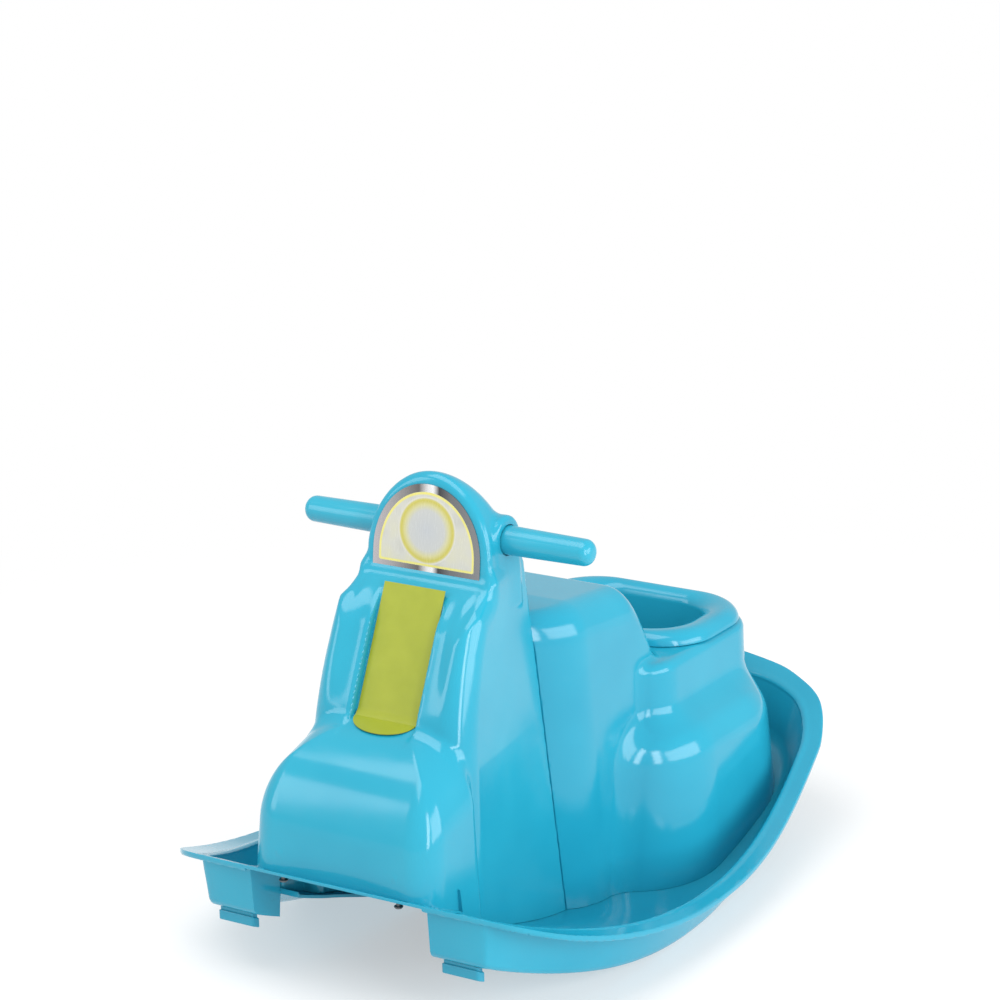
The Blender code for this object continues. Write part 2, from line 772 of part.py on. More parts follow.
def cowl_turns(z):
    """Ray angles at a height: one at each rear corner of the column, and low down a close pair
    just behind the front bridge, where the foot of the wall steps down."""
    corner = math.pi / 2 + math.atan2(rear_plane(z) - cowl_spine(z), rear_half(z))
    front = math.radians(float(np.interp(z, [0.19, 0.26], [36.0, 50.0])))
    high = min(max((z - 0.12) / 0.14, 0.0), 1.0)
    pair = []
    for k, behind in enumerate(STEP_RAYS):
        low = math.atan2(FENDER_HALF + behind / 2, cowl_spine(z) - TOE_REAR - behind)
        pair.append(low * (1 - high) + (front + (corner - front) * (4 + k) / 14) * high)
    return mirrored_turns([0, 8 / 24, 12 / 24, 13 / 24, 22 / 24, 1], [0, front, *pair, corner, math.pi])


def make_front_cowl(material):
    split = 0.300
    walls = np.concatenate([[0, 0.20, 0.38], np.linspace(0.46, 0.80, 10), [0.90]])
    fan = np.concatenate([np.arange(0, 30, 7.0), np.arange(31, 66, 3.4), np.arange(68, 90, 3.5)])
    rays = skin_rays(cowl_shape, cowl_turns, cowl_spine, cowl_foot, split, walls, np.radians(fan))
    cowl = shell("front_cowl", *skin_pair(cowl_shape, cowl_inner_shape, rays, cowl_foot))
    foot_y = float(apron_plane(FENDER_TOP_Z)) + CHANNEL_DEPTH
    line = [(y, channel_floor(y)) for y in (foot_y - CHANNEL_REACH, foot_y)]
    levels = np.linspace(channel_floor(foot_y) + FOLD_RISE, CHANNEL_TOP, 9)
    line += [(apron_plane(z) + CHANNEL_DEPTH, z) for z in levels]
    line += [(line[-1][0] - CHANNEL_REACH * 2, CHANNEL_TOP), (foot_y - CHANNEL_REACH, CHANNEL_TOP)]
    channel = side_prism("channel", [(float(y), float(z)) for y, z in line], CHANNEL_HALF)
    combine(cowl, channel, "DIFFERENCE")
    combine(cowl, headlight_slab("flat", LABEL_ROOM, GAP / 3, 0.015), "DIFFERENCE")
    hole = spun("hole", [(-0.09, HANDLE_HOLE), (0.09, HANDLE_HOLE)], (0, HANDLE_Y, HANDLE_Z), "X", 24)
    combine(cowl, hole, "DIFFERENCE")
    ends = BOSS_FACE - WALL
    room = spun("room", [(-ends, HANDLE_COLLAR + GAP), (ends, HANDLE_COLLAR + GAP)], (0, HANDLE_Y, HANDLE_Z), "X", 24)
    combine(cowl, room, "DIFFERENCE")
    x, y = front_spot()
    screw_post(cowl, x, y, float(cowl_foot(x, y)) + ground_slope(x, y) * POST_RADIUS)
    for x, y in cowl_side_spots():
        screw_post(cowl, x, y, plinth_top(x, y), POST_ROOM + WALL / 2)
    return finish(cowl, "front_cowl", material)


def seat_spine(z):
    return SEAT_SPINE_Y


def seat_turns(z):
    """Ray angles at a height, with rays at both ends of the widening faces."""
    ahead = SEAT_SPINE_Y - rear_plane(z) - SEAT_JOINT
    corner = math.atan2(rear_half(z), ahead)
    wide = math.atan2(SEAT_HALF, ahead - SEAT_WIDEN)
    return mirrored_turns([0, 4 / 24, 6 / 24, 1], [0, corner, wide, math.pi])


def make_seat_shell(material):
    split = 0.115
    walls = np.linspace(0, 0.90, 6)
    fan = np.concatenate([np.arange(0, 12, 4.0), np.arange(12, 60, 3.1), np.arange(61, 86, 4.0)])
    rays = skin_rays(seat_shape, seat_turns, seat_spine, floor_top, split, walls, np.radians(fan))
    seat = shell("seat_shell", *skin_pair(seat_shape, seat_inner_shape, rays, floor_top))
    room = BIN_HOLE_ROOM
    mouth = rounded_rectangle(BIN_MOUTH_HALF + room, BIN_MOUTH_FRONT - room, BIN_MOUTH_REAR + room,
                              BIN_MOUTH_CORNER + room)
    combine(seat, loft("mouth", [(mouth, BACK_TOP - 0.03), (mouth, BACK_TOP + 0.05)]), "DIFFERENCE")
    for x, y in seat_spots():
        screw_post(seat, x, y, plinth_top(x, y), POST_ROOM + WALL / 2)
    return finish(seat, "seat_shell", material)


def make_storage_bin(material):
    """Rim like half a tube laid in a loop, and a tapering tub below it."""
    thick = WALL * 0.8
    rest = BACK_TOP + GAP

    def loop(share, extra=0.0):
        half = BIN_MOUTH_HALF + (BIN_RIM_HALF - BIN_MOUTH_HALF) * share + extra
        front = BIN_MOUTH_FRONT + (BIN_RIM_FRONT - BIN_MOUTH_FRONT) * share - extra
        rear = BIN_MOUTH_REAR + (BIN_RIM_REAR - BIN_MOUTH_REAR) * share + extra
        corner = BIN_MOUTH_CORNER + (BIN_RIM_CORNER - BIN_MOUTH_CORNER) * share + extra
        return rounded_rectangle(half, front, rear, corner, 6)

    def tub(depth, wall):
        return loop(0.0, -BIN_DRAFT * depth - wall)

    floor = rest - BIN_DEPTH
    rings = [(tub(BIN_DEPTH, 0.0), floor), (tub(0, 0.0), rest - thick), (loop(0.0, 0.0015), rest)]
    rings += [(loop(1.0), rest)]
    crown = BIN_RIM_TOP - rest
    for turn in np.linspace(0, math.pi / 2, 6)[1:]:
        rings.append((loop(1.0 - 0.42 * (1 - math.cos(turn))), rest + crown * math.sin(turn)))
    for turn in np.linspace(math.pi / 2, 0, 6)[1:]:
        rings.append((loop(0.58 * (1 - math.cos(turn)), -thick * math.cos(turn)), rest + crown * math.sin(turn)))
    rings += [(tub(BIN_DEPTH - thick, thick), floor + thick)]
    return finish(loft("storage_bin", rings), "storage_bin", material)


def make_handle(side, name, material):
    shell_in = BOSS_FACE - WALL - GAP
    taper = (HANDLE_BASE - HANDLE_END) / (HANDLE_TIP - BOSS_FACE)
    profile = [(SLEEVE_END, HANDLE_SLEEVE), (shell_in - 0.004, HANDLE_SLEEVE), (shell_in - 0.004, HANDLE_COLLAR),
               (shell_in - 0.0004, HANDLE_COLLAR), (shell_in - 0.0003, HANDLE_BASE), (BOSS_FACE, HANDLE_BASE)]
    start = HANDLE_TIP - HANDLE_ROUND
    for turn in np.linspace(0, math.pi / 2 * 0.96, 6):
        radius = HANDLE_BASE - taper * (start - BOSS_FACE) - HANDLE_ROUND * (1 - math.cos(turn))
        profile.append((start + HANDLE_ROUND * math.sin(turn), radius))
    item = spun(name, [(side * a, r) for a, r in profile], (0, HANDLE_Y, HANDLE_Z), "X", 22)
    room = TUBE_RADIUS + GAP
    bore = spun("bore", [(side * (SLEEVE_END - 0.01), room), (side * (TUBE_END + 0.001), room)],
                (0, HANDLE_Y, HANDLE_Z), "X", 14)
    combine(item, bore, "DIFFERENCE")
    combine(item, pin_solid(side, GAP, 0.01), "DIFFERENCE")
    return finish(item, name, material)


def pin_solid(side, room=0.0, longer=0.0):
    half = PIN_LENGTH / 2 + longer
    return spun("pin", [(-half, PIN_RADIUS + room), (half, PIN_RADIUS + room)],
                (side * PIN_X, HANDLE_Y, HANDLE_Z), "Z", 10)


def make_handle_tube(material):
    tube = spun("handle_tube", [(-TUBE_END, TUBE_RADIUS), (TUBE_END, TUBE_RADIUS)],
                (0, HANDLE_Y, HANDLE_Z), "X", 14)
    inside = TUBE_RADIUS - TUBE_WALL
    bore = spun("bore", [(-TUBE_END - 0.01, inside), (TUBE_END + 0.01, inside)], (0, HANDLE_Y, HANDLE_Z), "X", 14)
    combine(tube, bore, "DIFFERENCE")
    for side in (-1, 1):
        combine(tube, pin_solid(side, GAP, 0.01), "DIFFERENCE")
    return finish(tube, "handle_tube", material)


def headlight_slab(name, grow, near, far):
    """Arch-topped slab parallel to the leaning panel, between two distances in front of it."""
    half = HEADLIGHT_HALF + grow
    outline = [(half, HEADLIGHT_BOTTOM - grow)]
    for turn in np.linspace(0, math.pi, 33):
        outline.append((half * math.cos(turn), HEADLIGHT_ARCH_Z + (HEADLIGHT_RISE + grow) * math.sin(turn)))
    outline.append((-half, HEADLIGHT_BOTTOM - grow))
    count = len(outline)
    verts = []
    for ahead in (near, far):
        verts += [(x, float(panel_plane(z)) - ahead, z) for x, z in outline]
    faces = [(i, (i + 1) % count, count + (i + 1) % count, count + i) for i in range(count)]
    faces += [tuple(range(count)), tuple(range(count, 2 * count))[::-1]]
    return add_object(name, verts, faces)


def make_headlight_label(material):
    label = headlight_slab("headlight_label", 0.0, GAP, GAP + LABEL_THICK)
    return finish(label, "headlight_label", material)


def make_apron_label(material):
    """Strip down the channel that turns forward onto the fender and ends in half an ellipse."""
    line = [(float(apron_plane(z)) + CHANNEL_DEPTH, float(z))
            for z in np.linspace(STRIP_TOP, FENDER_TOP_Z + FOLD_RISE, 14)]
    foot_y = float(apron_plane(FENDER_TOP_Z)) + CHANNEL_DEPTH
    start = foot_y - 0.003
    reach = STRIP_FOOT - 0.003
    widths = [STRIP_HALF] * len(line)
    for share in np.linspace(0, 0.96, 9):
        y = start - reach * share
        line.append((y, channel_floor(y)))
        widths.append(STRIP_HALF * math.sqrt(1 - share ** 2))
    line = np.array(line)
    ahead = np.gradient(line, axis=0)
    normal = np.column_stack([ahead[:, 1], -ahead[:, 0]])
    normal /= np.linalg.norm(normal, axis=1)[:, None]
    normal = np.where((normal[:, :1] > 0) | (normal[:, 1:] < -0.9), -normal, normal)
    rows = []
    for away in (GAP, GAP + LABEL_THICK):
        at = line + normal * away
        rows.append([[(-w, y, z), (w, y, z)] for (y, z), w in zip(at, widths)])
    count = len(line)
    verts = [p for row in rows for pair in row for p in pair]
    faces = []
    for i in range(count - 1):
        a, b = 2 * i, 2 * count + 2 * i
        faces += [(a, a + 1, a + 3, a + 2), (b + 1, b, b + 2, b + 3), (a, a + 2, b + 2, b), (a + 3, a + 1, b + 1, b + 3)]
    last = 2 * (count - 1)
    faces += [(1, 0, 2 * count, 2 * count + 1), (last, last + 1, 2 * count + last + 1, 2 * count + last)]
    return finish(add_object("apron_label", verts, faces), "apron_label", material)


def make_stop_pad(side, name, material):
    """Block with a narrower stem that meets the toe box."""
    middle = (PAD_INNER + PAD_OUTER) / 2
    half = (PAD_OUTER - PAD_INNER) / 2
    rear = PAD_FRONT + PAD_DEPTH
    block = rounded_rectangle(half, PAD_FRONT, rear, PAD_CORNER, 4)
    stem = rounded_rectangle(half - PAD_STEM_INSET, PAD_FRONT + PAD_STEM_INSET, rear - PAD_STEM_INSET, PAD_CORNER, 4)

    def ring(outline, drop):
        return [(side * (middle + x), y, float(rest_z(y)) - GAP - drop) for x, y in outline]

    levels = [ring(block, PAD_HEIGHT), ring(block, PAD_STEM), ring(stem, PAD_STEM), ring(stem, 0.0)]
    count = len(block)
    verts = [p for level in levels for p in level]
    faces = []
    for r in range(3):
        for i in range(count):
            j = (i + 1) % count
            faces.append((r * count + i, r * count + j, (r + 1) * count + j, (r + 1) * count + i))
    faces += [tuple(range(count))[::-1], tuple(range(3 * count, 4 * count))]
    return finish(add_object(name, verts, faces), name, material)


def make_screws(name, spots, under, colour):
    count = 0
    for x, y in spots:
        for side in (-1, 1):
            count += 1
            z = under(x, y)
            top = SCREW_LENGTH - 0.001
            profile = [(-SCREW_HEAD_HEIGHT, SCREW_HEAD * 0.8), (-GAP * 4, SCREW_HEAD), (-GAP, SCREW_HEAD),
                       (-GAP, SCREW_RADIUS), (top, SCREW_RADIUS)]
            screw = spun("screw", profile, (side * x, y, z), "Z", 10)
            finish(screw, f"{name}_{count}", plastic(f"{name}_{count}_steel", colour, 0.32, 1.0))


def sheet_under(x, y):
    """Face that a screw head meets: under the front bridge, or inside a pocket in the floor."""
    level = RIM_TOP - WALL if y < TOE_REAR else PLINTH_HEIGHT
    return float(ground(x, y)) + level - ground_slope(x, y) * SCREW_HEAD


def build():
    clear_scene()
    blue = (0.030, 0.400, 0.580)
    make_rocker_base(plastic("tub_plastic", blue, 0.22))
    make_front_cowl(plastic("cowl_plastic", (0.032, 0.410, 0.590), 0.18))
    make_seat_shell(plastic("seat_plastic", (0.028, 0.395, 0.575), 0.18))
    make_storage_bin(plastic("bin_plastic", (0.026, 0.385, 0.565), 0.20))
    make_handle(1, "handle_left", plastic("left_handle_plastic", (0.034, 0.415, 0.600), 0.22))
    make_handle(-1, "handle_right", plastic("right_handle_plastic", (0.036, 0.418, 0.602), 0.22))
    make_handle_tube(plastic("tube_steel", (0.62, 0.63, 0.64), 0.35, 1.0))
    finish(pin_solid(1), "handle_pin_left", plastic("left_pin_steel", (0.55, 0.56, 0.57), 0.30, 1.0))
    finish(pin_solid(-1), "handle_pin_right", plastic("right_pin_steel", (0.56, 0.57, 0.58), 0.30, 1.0))
    make_headlight_label(plastic("headlight_print", (0.78, 0.78, 0.62), 0.25))
    make_apron_label(plastic("lime_print", (0.43, 0.50, 0.045), 0.35))
    make_stop_pad(1, "stop_pad_left", plastic("left_pad_plastic", (0.030, 0.370, 0.540), 0.40))
    make_stop_pad(-1, "stop_pad_right", plastic("right_pad_plastic", (0.030, 0.372, 0.542), 0.40))
    make_screws("cowl_screw", [front_spot()] + cowl_side_spots(), sheet_under, (0.60, 0.60, 0.58))
    make_screws("seat_screw", seat_spots(), sheet_under, (0.58, 0.59, 0.60))


build()
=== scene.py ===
# %% [markdown]
# # A rocking scooter for toddlers
#
# The real toy is a ride-on rocker made of a few large, thin-walled plastic mouldings: a boat-like tub with two
# curved soles, a hollow front cowl shaped like a scooter's leg shield and fender, a hollow seat with a
# backrest, and a small bin hung in the backrest. Two peg handles, two printed labels and two stop pads finish
# it. This lesson builds each moulding as a fine closed mesh, gives it a surface like the real one, and lights
# it on a pale studio floor.

# %% Start from the solid model
import math

import bpy
import numpy as np
from mathutils import Matrix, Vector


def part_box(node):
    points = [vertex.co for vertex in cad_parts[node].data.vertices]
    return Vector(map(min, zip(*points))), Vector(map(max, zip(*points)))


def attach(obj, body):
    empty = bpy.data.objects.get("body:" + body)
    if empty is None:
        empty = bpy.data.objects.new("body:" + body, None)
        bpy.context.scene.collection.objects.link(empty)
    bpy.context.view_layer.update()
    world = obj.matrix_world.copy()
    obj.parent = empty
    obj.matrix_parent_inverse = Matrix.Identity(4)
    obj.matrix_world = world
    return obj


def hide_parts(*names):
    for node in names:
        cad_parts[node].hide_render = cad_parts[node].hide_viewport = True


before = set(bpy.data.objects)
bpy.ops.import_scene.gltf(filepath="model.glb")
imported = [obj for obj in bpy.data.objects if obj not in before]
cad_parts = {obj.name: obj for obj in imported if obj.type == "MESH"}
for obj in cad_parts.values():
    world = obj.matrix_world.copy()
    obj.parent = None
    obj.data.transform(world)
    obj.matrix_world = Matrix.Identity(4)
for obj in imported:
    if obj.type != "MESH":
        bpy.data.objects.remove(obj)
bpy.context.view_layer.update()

# %% [markdown]
# ## Soft shapes from rules
#
# Blow-moulded and injection-moulded toys have few sharp edges: walls run into each other through generous
# radii. Such a body is easy to state as a rule that tells for every point how far it lies outside (above zero)
# or inside (below zero) the plastic. Two rules joined with a radius give a rounded edge or a filled valley.
# Bevelled and subdivided boxes would do as well, but there a change of one radius means modelling it again.

# %% Rules that join faces with a radius
GAP = 0.0003


def round_join(a, b, radius):
    """Inside both: the outer edge between two faces is rounded."""
    over = np.sqrt(np.maximum(a + radius, 0) ** 2 + np.maximum(b + radius, 0) ** 2)
    return np.minimum(np.maximum(a, b), -radius) + over


def round_union(a, b, radius):
    """Inside either: the valley between two faces is filled."""
    return -round_join(-a, -b, radius)


def ease(t):
    t = np.clip(t, 0.0, 1.0)
    return t * t * (3 - 2 * t)


def rounded_plan(x, y, half, front, rear, corner):
    """Distance from a rounded rectangle seen from above."""
    across = np.abs(x) - half + corner
    along = np.abs(y - (front + rear) / 2) - (rear - front) / 2 + corner
    over = np.hypot(np.maximum(across, 0), np.maximum(along, 0))
    return over + np.minimum(np.maximum(across, along), 0) - corner


def peg(x, y, across, along, radius):
    """Distance from two upright pegs that mirror each other."""
    return np.hypot(np.abs(x) - across, y - along) - radius

# %% [markdown]
# ## From a rule to a mesh
#
# The space round a piece is cut into small cells. Wherever the plastic's surface passes through a cell, one
# point is placed so that it fits the faces that cross the cell; where two faces meet at an edge the point
# lands on that edge, so crisp lines such as the channel's foot stay crisp. Blender's Remesh modifier works
# alike, but it needs a mesh to start from and rounds the edges. Cells are smaller than the wall, or the two
# skins would melt into one.

# %% The slope of a rule
NUDGE = 0.0002      # distance over which a slope is felt
SEARCHES = 4        # rounds of narrowing down where a surface cuts a grid line
TIE = 0.04          # how strongly a point holds to the middle of its cuts
SLACK = 0.2         # share of a cell by which a point may leave it
OFF_END = 0.02      # share of a stretch in which no cut is tried, at either end


def slope(rule, points):
    """Direction in which a rule grows fastest at each point."""
    parts = []
    for k in range(3):
        ahead, behind = points.copy(), points.copy()
        ahead[:, k] += NUDGE
        behind[:, k] -= NUDGE
        parts.append(rule(*ahead.T) - rule(*behind.T))
    normal = np.stack(parts, axis=1)
    return normal / np.maximum(np.linalg.norm(normal, axis=1)[:, None], 1e-12)

# %% Cuts of the surface with the grid
def crossings(rule, value, low, step, axis):
    """Where the surface cuts the grid lines that run along one axis, and the four cells round each cut."""
    head, tail = [slice(None)] * 3, [slice(None)] * 3
    head[axis], tail[axis] = slice(0, -1), slice(1, None)
    a, b = value[tuple(head)], value[tuple(tail)]
    at = np.argwhere((a < 0) != (b < 0))
    near, far = a[tuple(at.T)], b[tuple(at.T)]
    start, span = low + at * step, np.eye(3)[axis] * step
    t0, t1, f0, f1 = np.zeros(len(at)), np.ones(len(at)), near.copy(), far.copy()
    for _ in range(SEARCHES):
        t = t0 + (t1 - t0) * np.clip(f0 / (f0 - f1), OFF_END, 1 - OFF_END)
        f = rule(*(start + t[:, None] * span).T)
        same = (f < 0) == (f0 < 0)
        t0, f0 = np.where(same, t, t0), np.where(same, f, f0)
        t1, f1 = np.where(same, t1, t), np.where(same, f1, f)
    points = start + (t0 + (t1 - t0) * f0 / (f0 - f1))[:, None] * span
    u, w = np.eye(3, dtype=int)[[(axis + 1) % 3, (axis + 2) % 3]]
    cells = np.stack([at, at - u, at - u - w, at - w], axis=1)
    cells[near > 0] = cells[near > 0][:, ::-1]
    return points, cells

# %% One point in each cell, one face round each cut
def mesh_of(rule, low, high, step):
    """Points and faces of the surface where a rule is zero."""
    low, step = np.array(low, float), np.array(step, float)
    count = np.ceil((np.array(high) - low) / step).astype(int) + 1
    lines = [low[k] + step[k] * np.arange(count[k]) for k in range(3)]
    value = np.array(np.broadcast_to(rule(*np.meshgrid(*lines, indexing="ij", sparse=True)), count))
    found = [crossings(rule, value, low, step, axis) for axis in range(3)]
    points = np.concatenate([p for p, _ in found])
    cells = np.concatenate([c for _, c in found]) + 1
    keys = cells @ np.array([(count[1] + 2) * (count[2] + 2), count[2] + 2, 1])
    used, number = np.unique(keys.ravel(), return_inverse=True)
    normals = np.repeat(slope(rule, points), 4, axis=0)
    points = np.repeat(points, 4, axis=0)
    total = np.bincount(number)
    middle = np.stack([np.bincount(number, points[:, k]) / total for k in range(3)], axis=1)
    away = (normals * (points - middle[number])).sum(axis=1)
    fit = np.zeros((len(used), 3, 3))
    pull = np.zeros((len(used), 3))
    for i in range(3):
        pull[:, i] = np.bincount(number, normals[:, i] * away)
        for j in range(3):
            fit[:, i, j] = np.bincount(number, normals[:, i] * normals[:, j])
    fit += TIE * total[:, None, None] * np.eye(3)
    place = middle + np.linalg.solve(fit, pull[..., None])[..., 0]
    corner = np.stack(np.unravel_index(used, count + 2), axis=1) - 1
    place = np.clip(place, low + (corner - SLACK) * step, low + (corner + 1 + SLACK) * step)
    return place, number.reshape(-1, 4)

# %% From points to an object in the scene
def piece(name, verts, faces, angle=32.0):
    """Object from points and faces, smooth except along edges sharper than an angle."""
    mesh = bpy.data.meshes.new(name)
    mesh.from_pydata([tuple(v) for v in verts], [], [tuple(f) for f in faces])
    mesh.validate()
    mesh.shade_smooth()
    mesh.set_sharp_from_angle(angle=math.radians(angle))
    item = bpy.data.objects.new(name, mesh)
    bpy.context.scene.collection.objects.link(item)
    print(name, "faces:", len(mesh.polygons))
    return item


def stand_for(item, node):
    """The piece is shown in place of one node of the solid model."""
    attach(item, "root")
    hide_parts(node)
    return item

# %% [markdown]
# ## Front cowl: column, head, fender and handle bosses
#
# The cowl is one hollow moulding, open below. Its column leans and narrows upward, widens from a slim crisp
# rear edge to a rounded front, and carries a flat arched face for the headlight print. The apron below steps
# forward at a shelf and runs down to a fender whose top rolls over in one broad curve. Lofting it through
# sections would work, but leaning planes with a few radii between them keep every size readable.

# %% Sizes and rules of the column
PANEL_Y, PANEL_Z, PANEL_LEAN = -0.159, 0.349, math.tan(math.radians(6.6))
ARCH_Z, ARCH_HALF, ARCH_RISE = 0.364, 0.0685, 0.074
REAR_Y, REAR_LEAN, REAR_HALF, REAR_TAPER = -0.0524, 0.107, 0.0722, 0.041
COLUMN_FRONT_HALF = ((0.0, 0.090), (0.200, 0.0865), (0.294, 0.0805), (0.346, 0.0785))
HEAD_FOOT_Z = 0.346
COLUMN_EDGE, PANEL_EDGE, PANEL_FILLET, CREASE = 0.026, 0.007, 0.007, 0.003
EDGE_TOP_Z, EDGE_FADE = 0.362, 0.034
CROWN_EDGE, CROWN_LEAN, CROWN_RISE = 0.020, 0.25, 0.05
SHELF_Z, SHELF_SLOPE, SHELF_EDGE = 0.347, 0.60, 0.012
SHOULDER_FROM, SHOULDER_WIDE, SHOULDER_RISE, SHOULDER_EASING = 0.056, 0.020, 0.006, 0.25
APRON_Y, APRON_Z, APRON_LEAN, APRON_BOW, APRON_LOW_Z = -0.2147, 0.294, 0.409, 1.72, 0.180
LEANING = 0.9       # a leaning face is nearer than its distance along y says
WIDEST = 1.2        # the sides go on widening a little ahead of the apron
BED_Y, BED_Z, BED_LEAN, CHANNEL_DEPTH = -0.2238, 0.240, 0.468, 0.0095
FLAT_HALF, FLAT_FADE, FLAT_LOW_Z, FLAT_RISE = 0.068, 0.026, 0.225, 0.030


def rear_plane(z):
    return REAR_Y - REAR_LEAN * z


def rear_half(z):
    return REAR_HALF - REAR_TAPER * z


def panel_plane(z):
    return PANEL_Y + PANEL_LEAN * (z - PANEL_Z)


def apron_plane(z):
    rise = np.maximum(z, APRON_LOW_Z) - APRON_Z
    return APRON_Y + APRON_LEAN * rise + APRON_BOW * rise ** 2


def bed_plane(z):
    """Bottom of the channel: flat, while the apron round it bows forward."""
    return BED_Y + BED_LEAN * (z - BED_Z)


def apron_face(x, z):
    """Flat beside the channel, bowed forward toward the corners."""
    bowed, flat = apron_plane(z), bed_plane(z) - CHANNEL_DEPTH
    share = ease((FLAT_HALF - np.abs(x)) / FLAT_FADE) * ease((z - FLAT_LOW_Z) / FLAT_RISE)
    return bowed + (flat - bowed) * share


def column(x, y, z):
    front_half = np.interp(z, *zip(*COLUMN_FRONT_HALF))
    front_half = front_half + (ARCH_HALF - front_half) * ease((z - HEAD_FOOT_Z) / (ARCH_Z - HEAD_FOOT_Z))
    depth = rear_plane(z) - apron_plane(np.minimum(z, PANEL_Z))
    wide = rear_half(z) + (front_half - rear_half(z)) * np.clip((rear_plane(z) - y) / depth, 0, WIDEST)
    squeeze = wide / front_half
    arch = (np.hypot(x / (ARCH_HALF * squeeze), (z - ARCH_Z) / ARCH_RISE) - 1) * ARCH_HALF
    side = np.where(z > ARCH_Z, arch, np.abs(x) - wide)
    crown = y - rear_plane(z) + CROWN_LEAN * np.maximum(z - PANEL_Z, 0)
    shoulder = ease((np.abs(x) - SHOULDER_FROM) / SHOULDER_WIDE)
    fall = SHELF_SLOPE * (1 - SHOULDER_EASING * shoulder)
    shelf = (z - SHELF_Z - SHOULDER_RISE * shoulder - fall * (y - PANEL_Y)) / math.hypot(1, SHELF_SLOPE)
    apron = round_join((apron_face(x, z) - y) * LEANING, shelf, SHELF_EDGE)
    front = round_union(panel_plane(z) - y, apron, PANEL_FILLET)
    edge = PANEL_EDGE + (COLUMN_EDGE - PANEL_EDGE) * ease((EDGE_TOP_Z - z) / EDGE_FADE)
    shape = round_join(side, front, edge)
    return round_join(shape, crown, CROWN_EDGE * ease((z - PANEL_Z) / CROWN_RISE) + CREASE)

# %% [markdown]
# ### Fender, bosses and channel
#
# The fender imitates the guard over a scooter's front wheel, the bosses are the short sockets the handles plug
# into, and the channel is a recess that protects the label. In a modelling session each would be a Boolean with
# a bevel on the seam. Here they are three more rules, and one radius each fills or rounds the seam evenly.

# %% Rules of the fender, the bosses and the channel
FENDER_HALF, FENDER_FRONT, FENDER_REAR, FENDER_Z = 0.0955, -0.312, -0.228, 0.115
FENDER_DRAFT_SIDE, FENDER_DRAFT_FRONT = 0.045, 0.110
FENDER_TOP_Y, FENDER_TOP_Z, FENDER_SLOPE = -0.224, 0.236, 0.30
FENDER_CORNER, FENDER_TOP_EDGE, FENDER_REAR_EDGE = 0.026, 0.058, 0.010
HANDLE_Y, HANDLE_Z, BOSS_RADIUS, BOSS_FACE = -0.123, 0.379, 0.0215, 0.063
BOSS_FOOT, BOSS_EDGE = ARCH_Z - 0.05, 0.005
CHANNEL_HALF, CHANNEL_TOP, FOLD_RISE = 0.0335, 0.3465, 0.0006
FENDER_FILLET, BOSS_FILLET, CHANNEL_EDGE = 0.009, 0.004, 0.0032


def fender_top(y):
    return FENDER_TOP_Z + FENDER_SLOPE * (y - FENDER_TOP_Y)


def fender(x, y, z):
    side = np.abs(x) - FENDER_HALF + FENDER_DRAFT_SIDE * (z - FENDER_Z)
    front = FENDER_FRONT + FENDER_DRAFT_FRONT * (z - FENDER_Z) - y
    shape = round_join(side, front, FENDER_CORNER)
    shape = round_join(shape, (z - fender_top(y)) / math.hypot(1, FENDER_SLOPE), FENDER_TOP_EDGE)
    return round_join(shape, y - FENDER_REAR, FENDER_REAR_EDGE)


def boss(x, y, z):
    round_top = np.hypot(y - HANDLE_Y, z - HANDLE_Z) - BOSS_RADIUS
    slot = np.where(z > HANDLE_Z, round_top, np.abs(y - HANDLE_Y) - BOSS_RADIUS)
    slot = round_join(slot, BOSS_FOOT - z, CREASE)
    return round_join(slot, np.abs(x) - BOSS_FACE, BOSS_EDGE)


def channel(x, y, z):
    """The recess in the apron that takes the lime label."""
    bed = np.maximum(y - bed_plane(z), fender_top(y) + FOLD_RISE - z)
    return np.maximum(np.maximum(bed, np.abs(x) - CHANNEL_HALF), z - CHANNEL_TOP)


def cowl_body(x, y, z):
    body = round_union(column(x, y, z), fender(x, y, z), FENDER_FILLET)
    body = round_union(body, boss(x, y, z), BOSS_FILLET)
    return round_join(body, -channel(x, y, z), CHANNEL_EDGE)

# %% [markdown]
# ## The rocking curve
#
# The soles are arcs of a circle about two thirds of a metre in radius, with a short flat at the lowest point
# so that the toy stands still by itself. Everything that touches the tub's floor follows this curve. A Simple
# Deform modifier could bend the tub too, but the other pieces have to know the same height, so it is a
# formula.

# %% Height of the tub's floor
ROCK_RADIUS, ROCK_Y, ROCK_FLAT = 0.667, -0.020, 0.040
WALL, RIM_TOP, LIP_BOTTOM = 0.003, 0.045, 0.040
TOE_REAR, TUNNEL_HALF, BRIDGE_HALF = -0.268, 0.092, 0.1005
LIFT, LIFT_REAR, LIFT_RUN, LIFT_HALF, LIFT_FADE = 0.022, 0.010, 0.230, 0.150, 0.055
SEAM, TUNNEL_PLAY = 0.0012, 0.001       # clearances where the cowl steps down behind the bridge


def rest_z(y):
    flat = ROCK_RADIUS - math.sqrt(ROCK_RADIUS ** 2 - (ROCK_FLAT / 2) ** 2)
    drop = ROCK_RADIUS - np.sqrt(ROCK_RADIUS ** 2 - (y - ROCK_Y) ** 2)
    return np.maximum(drop - flat, 0)


def ground(x, y):
    """Underside of the floor; the inner side of each sole is raised ahead of the seat."""
    behind_toes = (y > TOE_REAR) | ((y > TOE_REAR - SEAM) & (np.abs(x) < TUNNEL_HALF + TUNNEL_PLAY))
    along = ease((LIFT_REAR - y) / LIFT_RUN) * behind_toes
    return rest_z(y) + LIFT * along * ease((LIFT_HALF - np.abs(x)) / LIFT_FADE)

